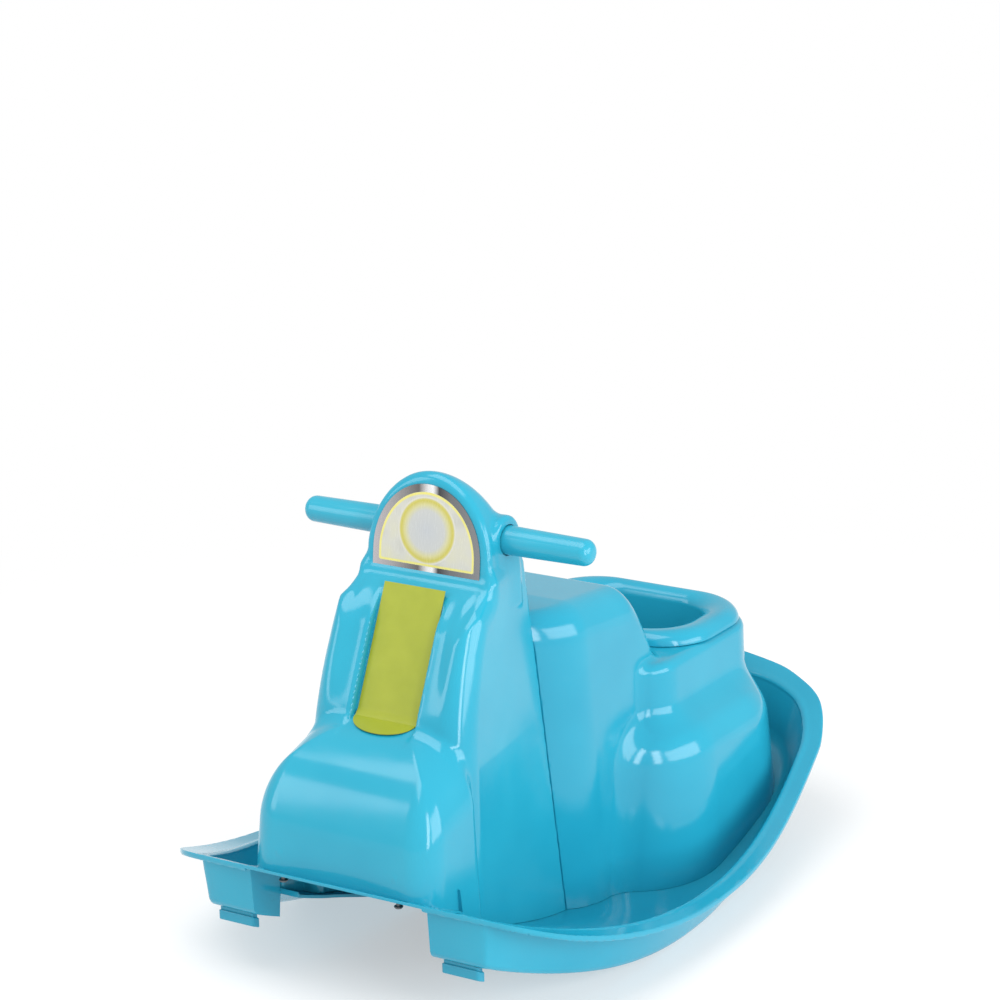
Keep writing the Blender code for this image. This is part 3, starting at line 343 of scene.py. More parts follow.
# %% [markdown]
# ### The cowl as a hollow shell
#
# The real cowl is a few millimetres thick and open below, with posts inside that take the screws. A Solidify
# modifier would thicken a surface, but it folds over itself in tight corners. The same rule, moved inward,
# gives a clean inner skin, and posts, tube room and foot are joined to it or cut from it. The skin here is
# 7 mm, more than the real wall, because of the cells; nobody sees it from outside.

# %% Make the cowl
SKIN, COWL_CELL, SEAT_CELL = 0.007, 0.0022, 0.0025
POST_RADIUS, POST_HEIGHT, PLINTH = 0.0055, 0.022, 0.0058
TUBE_ROOM, HANDLE_ROOM, HANDLE_START = 0.014, 0.0173, 0.060
SHRINK_Z, SPARE = 0.390, 0.0001     # the crown is pressed down a hair, to stay inside the solid model
COWL_ROOM = (-0.106, -0.322, -0.001), (0.106, -0.048, 0.442)


def screw_spots(*names):
    """Place of one screw out of each mirrored pair: distance from the middle, and place along the toy."""
    spots = []
    for name in names:
        low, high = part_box(name)
        spots.append((abs(low.x + high.x) / 2, (low.y + high.y) / 2))
    return spots


def cowl(x, y, z):
    body = cowl_body(x, y, z)
    hollow = np.maximum(body, -(body + SKIN))
    floor = ground(x, y) + WALL
    foot = np.where(y > TOE_REAR + SEAM, floor, rest_z(y) + RIM_TOP) + GAP
    room = np.hypot(y - HANDLE_Y, z - HANDLE_Z)
    hollow = np.maximum(hollow, TUBE_ROOM - room)
    hollow = np.maximum(hollow, -np.maximum(room - HANDLE_ROOM, np.abs(x) - HANDLE_START))
    for across, along in cowl_spots:
        base = ground(across, along) + (WALL + PLINTH if along > TOE_REAR else RIM_TOP) + GAP
        post = np.maximum(peg(x, y, across, along, POST_RADIUS), z - base - POST_HEIGHT)
        hollow = np.minimum(hollow, np.maximum(post, base - z))
    return np.maximum(hollow, foot - z)


cowl_spots = screw_spots("cowl_screw_1", "cowl_screw_3")
points, faces = mesh_of(cowl, *COWL_ROOM, (COWL_CELL,) * 3)
top_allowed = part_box("front_cowl")[1].z
excess = max(points[:, 2].max() - top_allowed + SPARE, 0)
points[:, 2] -= excess * ease((points[:, 2] - SHRINK_Z) / (top_allowed - SHRINK_Z))
front_cowl = stand_for(piece("scooter_cowl", points, faces), "front_cowl")

# %% [markdown]
# ## Seat and backrest
#
# The seat shell starts flush with the column's rear edge, widens to the saddle, dips behind the rider, and
# rises again as a round backrest on a wide flared foot. A soft valley runs round where backrest and flare meet.
# It could be sculpted, but three plain bodies melted together keep both sides alike and the radii known.

# %% Make the seat shell
SEAT_HALF, SEAT_TOP, SEAT_LOW, SEAT_REAR, SEAT_EDGE = 0.086, 0.296, 0.196, 0.132, 0.024
SIDE_LEANING, TOP_LEANING = 0.85, 0.75
WIDEN_RUN, BENCH_FALL, BENCH_FROM, DIP_FROM, DIP_RUN = 0.050, 0.10, -0.030, 0.045, 0.077
BACK_HALF, BACK_FRONT, BACK_REAR, BACK_TOP = 0.106, 0.050, 0.257, 0.209
BACK_CORNER, BACK_EDGE, BACK_DRAFT = 0.046, 0.009, 0.03
FLARE_HALF, FLARE_FRONT, FLARE_REAR, FLARE_TOP = 0.150, 0.012, 0.277, 0.156
FLARE_CORNER, FLARE_EDGE, FLARE_DRAFT = 0.085, 0.034, 0.07
BACK_FILLET, FLARE_FILLET = 0.006, 0.016
MOUTH_HALF, MOUTH_FRONT, MOUTH_REAR, MOUTH_CORNER, MOUTH_ROOM = 0.074, 0.134, 0.238, 0.044, 0.003
MOUTH_DEPTH, COWL_PLAY = 0.03, 0.0005
SEAT_ROOM = (-0.154, -0.090, 0.0), (0.154, 0.281, 0.300)


def seat_body(x, y, z):
    ahead = rear_plane(z) + COWL_PLAY - y
    narrow = 1 - np.clip(-ahead / WIDEN_RUN, 0, 1)
    wide = SEAT_HALF + (rear_half(z) - SEAT_HALF) * narrow ** 2
    bench = SEAT_TOP - BENCH_FALL * np.maximum(y - BENCH_FROM, 0)
    top = bench + (SEAT_LOW - bench) * ease((y - DIP_FROM) / DIP_RUN)
    block = round_join((np.abs(x) - wide) * SIDE_LEANING, (z - top) * TOP_LEANING, SEAT_EDGE)
    block = np.maximum(np.maximum(block, ahead), y - SEAT_REAR)
    back = rounded_plan(x, y, BACK_HALF + BACK_DRAFT * (BACK_TOP - z), BACK_FRONT, BACK_REAR, BACK_CORNER)
    back = round_join(back, z - BACK_TOP, BACK_EDGE)
    taper = FLARE_DRAFT * np.maximum(z, 0)
    flare = rounded_plan(x, y, FLARE_HALF - taper, FLARE_FRONT + taper, FLARE_REAR - taper, FLARE_CORNER)
    flare = round_join(flare, z - FLARE_TOP, FLARE_EDGE)
    return round_union(round_union(block, back, BACK_FILLET), flare, FLARE_FILLET)


def seat(x, y, z):
    body = seat_body(x, y, z)
    hollow = np.maximum(body, -(body + SKIN))
    mouth = rounded_plan(x, y, MOUTH_HALF + MOUTH_ROOM, MOUTH_FRONT - MOUTH_ROOM,
                         MOUTH_REAR + MOUTH_ROOM, MOUTH_CORNER + MOUTH_ROOM)
    hollow = np.maximum(hollow, -np.maximum(mouth, BACK_TOP - MOUTH_DEPTH - z))
    for across, along in seat_spots:
        base = ground(across, along) + WALL + PLINTH + GAP
        post = np.maximum(peg(x, y, across, along, POST_RADIUS), z - base - POST_HEIGHT)
        hollow = np.minimum(hollow, np.maximum(post, base - z))
    return np.maximum(hollow, ground(x, y) + WALL + GAP - z)


seat_spots = screw_spots("seat_screw_1", "seat_screw_3")
points, faces = mesh_of(seat, *SEAT_ROOM, (SEAT_CELL,) * 3)
seat_shell = stand_for(piece("scooter_seat", points, faces), "seat_shell")

# %% [markdown]
# ## The tub
#
# The tub is made flat in thought and then bent onto the rocking curve: every point rises by the height of the
# curve below it. Seen from above its outline is a long leaf; a flat land with a thin turned-down lip runs all
# round, the wall slopes in to the soles, and a bridge at the front joins the two toe boxes over an open tunnel.
# The outlines could be Bezier curves; as lists of points they can be measured and moved one by one.

# %% Outlines of the tub, seen from above
LIP_HALF = (
    (0.000, -0.328), (0.080, -0.320), (0.150, -0.309), (0.183, -0.291), (0.204, -0.252), (0.220, -0.156),
    (0.224, -0.047), (0.215, 0.070), (0.190, 0.202), (0.179, 0.246), (0.156, 0.285), (0.121, 0.307),
    (0.081, 0.319), (0.000, 0.328),
)
HULL_HALF = (
    (0.000, -0.3110), (0.080, -0.3105), (0.138, -0.3080), (0.153, -0.2980), (0.170, -0.2620), (0.199, -0.1560),
    (0.207, -0.0470), (0.1985, 0.0700), (0.1745, 0.2020), (0.162, 0.2460), (0.139, 0.2790), (0.107, 0.2965),
    (0.070, 0.3040), (0.000, 0.3090),
)
SOLE_HALF = (
    (0.000, -0.3080), (0.080, -0.3075), (0.135, -0.3050), (0.148, -0.2960), (0.158, -0.2620), (0.183, -0.1560),
    (0.189, -0.0470), (0.181, 0.0700), (0.158, 0.2020), (0.147, 0.2430), (0.127, 0.2700), (0.098, 0.2860),
    (0.064, 0.2935), (0.000, 0.3000),
)
OPENING_HALF = (
    (0.000, -0.298), (0.066, -0.296), (0.070, -0.230), (0.062, -0.170), (0.052, -0.070), (0.058, -0.010),
    (0.078, 0.060), (0.112, 0.105), (0.124, 0.160), (0.114, 0.210), (0.080, 0.240), (0.000, 0.250),
)


def outline_rule(half):
    """Distance from a smooth closed outline through a half outline and its mirror image."""
    knots = np.array(list(half) + [(-x, y) for x, y in reversed(half[1:-1])])
    a, b, c, d = (np.roll(knots, 1 - k, axis=0)[:, None] for k in range(4))
    t = (np.arange(16) / 16)[None, :, None]
    curve = 0.5 * (2 * b + (c - a) * t + (2 * a - 5 * b + 4 * c - d) * t ** 2
                   + (3 * b - a - 3 * c + d) * t ** 3)
    curve = curve.reshape(-1, 2)
    along = np.roll(curve, -1, axis=0) - np.roll(curve, 1, axis=0)
    radius = np.hypot(*curve.T)
    turn = np.arctan2(curve[:, 0], -curve[:, 1])
    facing = (along[:, 1] * curve[:, 0] - along[:, 0] * curve[:, 1]) / (radius * np.hypot(*along.T))
    order = np.argsort(turn)

    def rule(x, y):
        here = np.arctan2(x, -y)
        reach = np.interp(here, turn[order], radius[order], period=2 * math.pi)
        slant = np.interp(here, turn[order], facing[order], period=2 * math.pi)
        return (np.hypot(x, y) - reach) * slant

    return rule


lip_rule, hull_rule, sole_rule, opening_rule = map(outline_rule, (LIP_HALF, HULL_HALF, SOLE_HALF, OPENING_HALF))

# %% [markdown]
# ### Wall, rim and toe boxes
#
# A mould maker would draw the tub as one wall of even thickness. So the outside is a block between two
# outlines, the inside is the same block moved inward, and rim, lip, bridge and screw plinths are joined on.
# Booleans of meshes would need each outline twice and leave slivers at the bridge; rules don't.

# %% Make the tub flat, then bend it
TUB_CELL = (0.0021, 0.0021, 0.0013)
SIDE_WALL, SOLE_STEP = 0.0042, 0.003
SOLE_EDGE, RIM_EDGE, WELL_EDGE, WELL_VALLEY, CORE_EDGE = 0.005, 0.0012, 0.003, 0.007, 0.004
LIP_WALL, LIP_EDGE, LIP_VALLEY = 0.0032, 0.0015, 0.002
PLINTH_RADIUS, PLINTH_HEIGHT, PLINTH_EDGE = 0.0065, 0.005, 0.001
HEAD_ROOM, OPENING_HEIGHT, RIM_INSET = 0.0046, 0.02, 0.0002
TUB_ROOM = (-0.2262, -0.3302, -0.00205), (0.2262, 0.3302, 0.0475)


def tub(x, y, level):
    """The tub before bending; level is the height above the sole."""
    rim, hull = lip_rule(x, y) + RIM_INSET, hull_rule(x, y)
    up = np.clip((level - SOLE_STEP) / (RIM_TOP - WALL - SOLE_STEP), 0, 1)
    wall = sole_rule(x, y) * (1 - up) + hull * up
    shape = round_join(wall, -level, SOLE_EDGE)
    shape = np.maximum(shape, level - RIM_TOP)
    flange = round_join(np.abs(level - RIM_TOP + WALL / 2) - WALL / 2, rim, RIM_EDGE)
    bead = round_join(np.abs(level - (RIM_TOP + LIP_BOTTOM) / 2) - (RIM_TOP - LIP_BOTTOM) / 2,
                      np.abs(rim + LIP_WALL / 2) - LIP_WALL / 2, LIP_EDGE)
    shape = np.minimum(round_union(shape, flange, LIP_VALLEY), bead)
    well = round_join(wall + SIDE_WALL, WALL - level, WELL_VALLEY)
    core = np.maximum(np.abs(x) - BRIDGE_HALF, y - TOE_REAR)
    well = round_join(well, -core, CORE_EDGE)
    shape = round_join(shape, -well, WELL_EDGE)
    tunnel = np.maximum(np.maximum(np.abs(x) - TUNNEL_HALF, y - TOE_REAR), level - RIM_TOP + WALL)
    shape = np.maximum(shape, -tunnel)
    for across, along in cowl_spots + seat_spots:
        if along > TOE_REAR:
            plinth = peg(x, y, across, along, PLINTH_RADIUS)
            plinth = round_join(plinth, level - WALL - PLINTH_HEIGHT, PLINTH_EDGE)
            shape = np.minimum(shape, np.maximum(plinth, WALL / 2 - level))
            shape = np.maximum(shape, -np.maximum(peg(x, y, across, along, HEAD_ROOM), level - PLINTH_HEIGHT))
    return np.maximum(shape, -np.maximum(opening_rule(x, y), level - OPENING_HEIGHT))


points, faces = mesh_of(tub, *TUB_ROOM, TUB_CELL)
points[:, 2] += ground(points[:, 0], points[:, 1])
rocker_base = stand_for(piece("scooter_tub", points, faces), "rocker_base")

# %% [markdown]
# ## Parts drawn as rings
#
# Rings of points joined by faces describe anything swept or turned. The Screw modifier and bevelled curves do
# the same; plain rings are short, and the number of points is known.

# %% Helpers for rings
def rounded_ring(half, front, rear, corner, count=18):
    points = []
    centres = ((half - corner, front + corner), (half - corner, rear - corner),
               (corner - half, rear - corner), (corner - half, front + corner))
    for k, (cx, cy) in enumerate(centres):
        for t in np.linspace(0.0, math.pi / 2, count):
            turn = t + math.pi / 2 * (k - 1)
            points.append((cx + corner * math.cos(turn), cy + corner * math.sin(turn)))
    return points


def ring_faces(rows, count):
    faces = []
    for r in range(rows - 1):
        for i in range(count):
            j = (i + 1) % count
            faces.append((r * count + i, r * count + j, (r + 1) * count + j, (r + 1) * count + i))
    faces.append(tuple(range(count))[::-1])
    faces.append(tuple(range((rows - 1) * count, rows * count)))
    return faces

# %% [markdown]
# ### Storage bin
#
# The bin is a little tub dropped into the backrest. It hangs by its broad rim, which is like half a tube laid
# in a loop. Each ring is the same rounded rectangle, a bit larger, smaller, higher or lower than the one
# before.

# %% Make the storage bin
RIM_HALF, RIM_FRONT, RIM_REAR, RIM_CORNER, BIN_TOP = 0.1045, 0.112, 0.2555, 0.052, 0.222
BIN_DEPTH, BIN_WALL, BIN_DRAFT, OUTER_SHARE = 0.125, 0.0024, 0.06, 0.42
OUTER_EDGE, OUTER_BEVEL, INNER_EDGE, INNER_BEVEL = 0.004, 0.0012, 0.010, 0.003
NECK, UNDER_SHARE = 0.0015, 0.97


def make_bin():
    """Rings from the bottom's outside up round the rim and down to the bottom's inside."""
    thick, rest, depth = BIN_WALL, BACK_TOP + GAP, BIN_DEPTH

    def loop(share, extra=0.0):
        return rounded_ring(MOUTH_HALF + (RIM_HALF - MOUTH_HALF) * share + extra,
                            MOUTH_FRONT + (RIM_FRONT - MOUTH_FRONT) * share - extra,
                            MOUTH_REAR + (RIM_REAR - MOUTH_REAR) * share + extra,
                            MOUTH_CORNER + (RIM_CORNER - MOUTH_CORNER) * share + extra)

    def tub_ring(down, wall):
        return loop(0.0, -BIN_DRAFT * down - wall)

    floor, crown = rest - depth, BIN_TOP - rest
    rings = [(tub_ring(depth, OUTER_EDGE), floor), (tub_ring(depth, OUTER_BEVEL), floor + OUTER_BEVEL),
             (tub_ring(depth, 0.0), floor + OUTER_EDGE)]
    rings += [(tub_ring(0, 0.0), rest - thick), (loop(0.0, NECK), rest), (loop(UNDER_SHARE), rest)]
    for turn in np.linspace(0.05, math.pi / 2, 16):
        rings.append((loop(1.0 - OUTER_SHARE * (1 - math.cos(turn))), rest + crown * math.sin(turn)))
    for turn in np.linspace(math.pi / 2, 0, 16)[1:]:
        share = (1 - OUTER_SHARE) * (1 - math.cos(turn))
        rings.append((loop(share, -thick * math.cos(turn)), rest + crown * math.sin(turn)))
    rings += [(tub_ring(depth - thick, thick), floor + thick + INNER_EDGE),
              (tub_ring(depth - thick, thick + INNER_BEVEL), floor + thick + INNER_BEVEL),
              (tub_ring(depth - thick, thick + INNER_EDGE), floor + thick)]
    verts = [(x, y, z) for ring, z in rings for x, y in ring]
    return piece("scooter_bin", verts, ring_faces(len(rings), len(rings[0][0])), 40.0)


storage_bin = stand_for(make_bin(), "storage_bin")

# %% [markdown]
# ### Handles
#
# A handle is a turned peg: a tapered grip with a rounded tip, a collar that stops behind the boss's face and a
# bore for the cross tube. One profile, turned round the axis, makes it, as a lathe would.

# %% Make the two handles
HANDLE_TIP, HANDLE_RADIUS, TIP_RADIUS, TIP_EDGE = 0.149, 0.013, 0.01175, 0.009
HANDLE_INNER, COLLAR_INNER, COLLAR_OUTER, COLLAR_RADIUS = 0.034, 0.0557, 0.0593, 0.0170
BORE_END, BORE_RADIUS, SHANK_RADIUS, CENTRE = 0.133, 0.0053, 0.009, 0.0004
COLLAR_STEP, TIP_STEP, TIP_FLAT = 0.0001, 0.00005, 0.0012       # small steps keep rings apart


def make_handle(side, node):
    """Turned profile: bore, shank, collar inside the boss, tapered grip and rounded tip."""
    steps, tip, rounding = 72, HANDLE_TIP, TIP_EDGE
    profile = [(BORE_END, CENTRE), (BORE_END, BORE_RADIUS), (HANDLE_INNER, BORE_RADIUS),
               (HANDLE_INNER, SHANK_RADIUS), (COLLAR_INNER, SHANK_RADIUS), (COLLAR_INNER, COLLAR_RADIUS),
               (COLLAR_OUTER, COLLAR_RADIUS), (COLLAR_OUTER + COLLAR_STEP, HANDLE_RADIUS),
               (BOSS_FACE, HANDLE_RADIUS)]
    start = tip - rounding
    narrow = HANDLE_RADIUS - (HANDLE_RADIUS - TIP_RADIUS) * (start - BOSS_FACE) / (tip - BOSS_FACE)
    for turn in np.linspace(0, math.pi / 2, 14):
        profile.append((start + rounding * math.sin(turn), narrow - rounding * (1 - math.cos(turn))))
    profile += [(tip + TIP_STEP, TIP_FLAT), (tip + TIP_STEP, CENTRE)]
    verts = []
    for along, radius in profile:
        for k in range(steps):
            turn = 2 * math.pi * k / steps * side
            verts.append((side * along, HANDLE_Y + radius * math.cos(turn), HANDLE_Z + radius * math.sin(turn)))
    item = piece("scooter_" + node, verts, ring_faces(len(profile), steps), 40.0)
    return stand_for(item, node)


handles = [make_handle(1, "handle_left"), make_handle(-1, "handle_right")]

# %% [markdown]
# ### Stop pads
#
# Two small blocks under the front corners end the forward swing. Each has a narrow stem, which shows as a dark
# step above the block, so block and stem are two rules rather than a bevelled box.

# %% Make the stop pads
PAD_CELL, PAD_CORNER = 0.0010, 0.003
BLOCK_DROP, BLOCK_HALF, BLOCK_EDGE = 0.008, 0.0045, 0.001
STEM_INSET, STEM_DROP = 0.0015, 0.003


def make_pad(side, node):
    """A block on a slightly smaller stem, bent onto the rocking curve like the tub."""
    inner, outer, front, rear = 0.0985, 0.1365, -0.3015, -0.2905

    def pad(x, y, drop):
        plan = rounded_plan(x - side * (inner + outer) / 2, y, (outer - inner) / 2, front, rear, PAD_CORNER)
        block = round_join(plan, np.abs(drop + BLOCK_DROP) - BLOCK_HALF, BLOCK_EDGE)
        stem = np.maximum(plan + STEM_INSET, np.abs(drop + STEM_DROP) - STEM_DROP)
        return np.minimum(block, stem)

    ends = sorted((side * 0.0960, side * 0.1390))
    low, high = (ends[0], front - 0.002, -0.0140), (ends[1], rear + 0.002, 0.0015)
    points, faces = mesh_of(pad, low, high, (PAD_CELL,) * 3)
    points[:, 2] += rest_z(points[:, 1]) - GAP
    return stand_for(piece("scooter_" + node, points, faces), node)


pads = [make_pad(1, "stop_pad_left"), make_pad(-1, "stop_pad_right")]

# %% [markdown]
# ## Printed labels
#
# Both labels are thin self-adhesive films. The headlight film is an arch on the flat of the head; the lime film
# runs down the channel, turns forward at its foot and ends in half an ellipse on the fender.

# %% Make the headlight film
LABEL_HALF, LABEL_ARCH_Z, LABEL_RISE, LABEL_BOTTOM = 0.0555, 0.3655, 0.0625, 0.3495
LABEL_CORNER, FILM = 0.001, 0.0005


def make_headlight():
    outline = [(LABEL_HALF - LABEL_CORNER, LABEL_BOTTOM), (LABEL_HALF, LABEL_BOTTOM + LABEL_CORNER)]
    for turn in np.linspace(0, math.pi, 97):
        outline.append((LABEL_HALF * math.cos(turn), LABEL_ARCH_Z + LABEL_RISE * math.sin(turn)))
    outline += [(-LABEL_HALF, LABEL_BOTTOM + LABEL_CORNER), (LABEL_CORNER - LABEL_HALF, LABEL_BOTTOM)]
    verts = [(x, panel_plane(z) - ahead, z) for ahead in (GAP + FILM, GAP) for x, z in outline]
    return piece("scooter_headlight", verts, ring_faces(2, len(outline)))


headlight = stand_for(make_headlight(), "headlight_label")

# %% [markdown]
# ### The lime film
#
# A flat film can bend along one line, not stretch. So it is laid along a side view of the channel's bed, with
# the same width all the way until the foot narrows. A cloth simulation would find the same shape with more
# trouble.

# %% Make the lime film
STRIP_HALF, STRIP_TOP, STRIP_REACH, FOLD_AHEAD = 0.0315, 0.3425, 0.019, 0.003


def make_strip():
    """Down the bed of the channel, round the fold and out over the fender in half an ellipse."""
    line = [(float(bed_plane(z)), float(z)) for z in np.linspace(STRIP_TOP, BED_Z, 40)]
    widths = [STRIP_HALF] * len(line)
    start = float(bed_plane(FENDER_TOP_Z)) - FOLD_AHEAD
    for share in np.concatenate([np.linspace(0, 0.9, 20), np.linspace(0.92, 0.995, 8)]):
        y = start - STRIP_REACH * share
        line.append((y, fender_top(y) + FOLD_RISE))
        widths.append(STRIP_HALF * math.sqrt(1 - share ** 2))
    line = np.array(line)
    ahead = np.gradient(line, axis=0)
    normal = np.column_stack([ahead[:, 1], -ahead[:, 0]])
    normal /= np.linalg.norm(normal, axis=1)[:, None]
    normal = np.where((normal[:, :1] > 0) | (normal[:, 1:] < -0.9), -normal, normal)
    across = 13                     # points across the film
    verts, faces = [], []
    for lift in (GAP, GAP + FILM):
        for (y, z), w in zip(line + normal * lift, widths):
            verts += [(w * s, y, z) for s in np.linspace(-1, 1, across)]
    rows = len(line)
    for layer in range(2):
        base = layer * rows * across
        for r in range(rows - 1):
            for k in range(across - 1):
                a = base + r * across + k
                quad = (a, a + 1, a + across + 1, a + across)
                faces.append(quad if layer == 0 else quad[::-1])
    edge = list(range(across)) + [r * across + across - 1 for r in range(1, rows)]
    edge += [(rows - 1) * across + k for k in range(across - 2, -1, -1)]
    edge += [r * across for r in range(rows - 2, 0, -1)]
    for a, b in zip(edge, edge[1:] + edge[:1]):
        faces.append((b, a, a + rows * across, b + rows * across))
    return piece("scooter_strip", verts, faces)


strip = stand_for(make_strip(), "apron_label")

# %% [markdown]
# ## Finishes
#
# Colours are written as they look on a screen and turned into light values by one function. Every finish is
# built from small patterns sized in real millimetres, since a photo as texture would bring its own light along.

# %% Helpers for finishes
def light(colour):
    """Screen colour such as #3FAFCF as linear light."""
    parts = [int(colour[k:k + 2], 16) / 255 for k in (1, 3, 5)]
    return tuple(p / 12.92 if p <= 0.04045 else ((p + 0.055) / 1.055) ** 2.4 for p in parts) + (1.0,)


def new_finish(name):
    print("finish:", name)
    finish = bpy.data.materials.new(name)
    finish.use_nodes = True
    finish.node_tree.nodes.clear()
    tree = finish.node_tree
    out = add(tree, "ShaderNodeOutputMaterial")
    surface = add(tree, "ShaderNodeBsdfPrincipled")
    tree.links.new(surface.outputs[0], out.inputs["Surface"])
    place = add(tree, "ShaderNodeTexCoord").outputs["Object"]
    return finish, tree, surface, place


def add(tree, kind, settings=None, **inputs):
    """New node with its settings; inputs are values or other nodes' outputs."""
    node = tree.nodes.new(kind)
    for key, value in (settings or {}).items():
        setattr(node, key, value)
    for key, value in inputs.items():
        numbered = key[0] == "i" and key[1:].isdigit()
        socket = node.inputs[int(key[1:]) if numbered else key.replace("_", " ")]
        if isinstance(value, bpy.types.NodeSocket):
            tree.links.new(value, socket)
        else:
            socket.default_value = value
    return node


def noise(tree, place, size, detail=2.0):
    """Cloudy pattern whose blobs are about size metres across."""
    return add(tree, "ShaderNodeTexNoise", Vector=place, Scale=1.0 / size, Detail=detail).outputs["Fac"]


def spread(tree, value, low, high):
    """Turns a pattern's middle range into a range from low to high."""
    node = add(tree, "ShaderNodeMapRange", Value=value, From_Min=0.3, From_Max=0.7, To_Min=low, To_Max=high)
    return node.outputs["Result"]


def maths(tree, operation, a, b=0.0):
    return add(tree, "ShaderNodeMath", {"operation": operation}, i0=a, i1=b).outputs[0]


def length(tree, a, b):
    """Length of a line whose two sides are a and b."""
    return maths(tree, "SQRT", maths(tree, "ADD", maths(tree, "MULTIPLY", a, a), maths(tree, "MULTIPLY", b, b)))


def blend(tree, factor, first, second):
    """Colour between two colours; each is a screen colour or another node's output."""
    node = add(tree, "ShaderNodeMix", {"data_type": "RGBA"}, Factor=factor)
    for socket, colour in ((node.inputs[6], first), (node.inputs[7], second)):
        if isinstance(colour, str):
            socket.default_value = light(colour)
        else:
            tree.links.new(colour, socket)
    return node.outputs[2]


def wear(item, finish):
    item.data.materials.clear()
    item.data.materials.append(finish)

# %% [markdown]
# ### Glossy aqua plastic
#
# The large mouldings are polypropylene coloured through with pigment. The mould is polished, so the skin is
# glossy, but it cools unevenly: reflections wobble very slightly over a few centimetres, with a fine orange
# peel on top. Handling leaves faint hairlines that only show in highlights. Painting all this by hand needs
# unwrapped meshes; noise of a known size, laid through the body, needs none.

# %% Finish of the mouldings
PATCH, GLOSS_PATCH, WOBBLE, RIPPLE = 0.09, 0.025, 0.035, 0.0001     # metres, as PEEL is
PEEL, PEEL_SHARE = 0.0016, 0.02


def moulded_plastic(name, colour, shade, roughness):
    finish, tree, surface, place = new_finish(name)
    patches = spread(tree, noise(tree, place, PATCH), 0.0, 1.0)
    tree.links.new(blend(tree, patches, colour, shade), surface.inputs["Base Color"])
    gloss = spread(tree, noise(tree, place, GLOSS_PATCH, 4.0), roughness * 0.85, roughness * 1.2)
    stretched = add(tree, "ShaderNodeMapping", Vector=place, Scale=(30.0, 420.0, 90.0),
                    Rotation=(0.4, 0.2, 0.7))
    hairs = add(tree, "ShaderNodeTexNoise", Vector=stretched.outputs[0], Scale=1.0, Detail=3.0).outputs["Fac"]
    hairs = add(tree, "ShaderNodeMapRange", Value=hairs, From_Min=0.62, From_Max=0.75, To_Max=0.06)
    tree.links.new(maths(tree, "ADD", gloss, hairs.outputs["Result"]), surface.inputs["Roughness"])
    wobble = noise(tree, place, WOBBLE, 1.0)
    peel = maths(tree, "MULTIPLY", noise(tree, place, PEEL, 1.0), PEEL_SHARE)
    bump = add(tree, "ShaderNodeBump", Height=maths(tree, "ADD", wobble, peel), Distance=RIPPLE, Strength=1.0)
    tree.links.new(bump.outputs[0], surface.inputs["Normal"])
    surface.inputs["IOR"].default_value = 1.49
    return finish


PLASTICS = (
    ([rocker_base], "aqua_polypropylene_polished_tub", "#239CB8", "#1D95B2", 0.15),
    ([front_cowl], "aqua_polypropylene_polished_cowl", "#28A0BB", "#2199B5", 0.13),
    ([seat_shell], "aqua_polypropylene_polished_seat", "#259EBA", "#1F97B4", 0.13),
    ([storage_bin], "aqua_polypropylene_polished_bin", "#259EBA", "#1F97B4", 0.14),
    (handles, "aqua_polypropylene_turned_handle", "#2BA3BD", "#249BB7", 0.20),
    (pads, "aqua_soft_plastic_pad", "#1F92AE", "#1989A5", 0.32),
)
for items, name, colour, shade, roughness in PLASTICS:
    finish = moulded_plastic(name, colour, shade, roughness)
    for item in items:
        wear(item, finish)

# %% [markdown]
# ### Headlight print
#
# A lamp is printed on the film: a brushed silver border, a thin yellow line inside it, and a pearl field with a
# yellow ring that fades softly outward and inward like a lens with a glow behind it. It could be an image, but
# drawn from the distance to the film's edge and to the ring's centre it stays sharp at any size.

# %% Helpers for the print
LENS_Z, LENS_RADIUS = 0.3871, 0.0300
BORDER_WIDE, LINE_INSET, CORNER_SOFT = 0.0062, 0.0072, 0.003


def ramp(tree, value, stops, low=0.0, high=1.0):
    """Colour that changes along a value; stops are pairs of place and screen colour."""
    scaled = add(tree, "ShaderNodeMapRange", Value=value, From_Min=low, From_Max=high).outputs["Result"]
    node = add(tree, "ShaderNodeValToRGB", Fac=scaled)
    bar = node.color_ramp
    while len(bar.elements) > 1:
        bar.elements.remove(bar.elements[-1])
    for k, (at, colour) in enumerate(stops):
        spot = bar.elements[0] if k == 0 else bar.elements.new(at)
        spot.position = at
        spot.color = light(colour)
    return node.outputs[0]


def inset_from_edge(tree, x, z):
    """Distance inward from the film's edge, with softly rounded lower corners."""
    rise = maths(tree, "MAXIMUM", maths(tree, "SUBTRACT", z, LABEL_ARCH_Z), 0.0)
    across = maths(tree, "DIVIDE", x, LABEL_HALF)
    reach = length(tree, across, maths(tree, "DIVIDE", rise, LABEL_RISE))
    side = maths(tree, "MULTIPLY", maths(tree, "SUBTRACT", 1.0, reach), LABEL_HALF)
    inset = maths(tree, "SMOOTH_MIN", side, maths(tree, "SUBTRACT", z, LABEL_BOTTOM))
    inset.node.inputs[2].default_value = CORNER_SOFT
    return inset

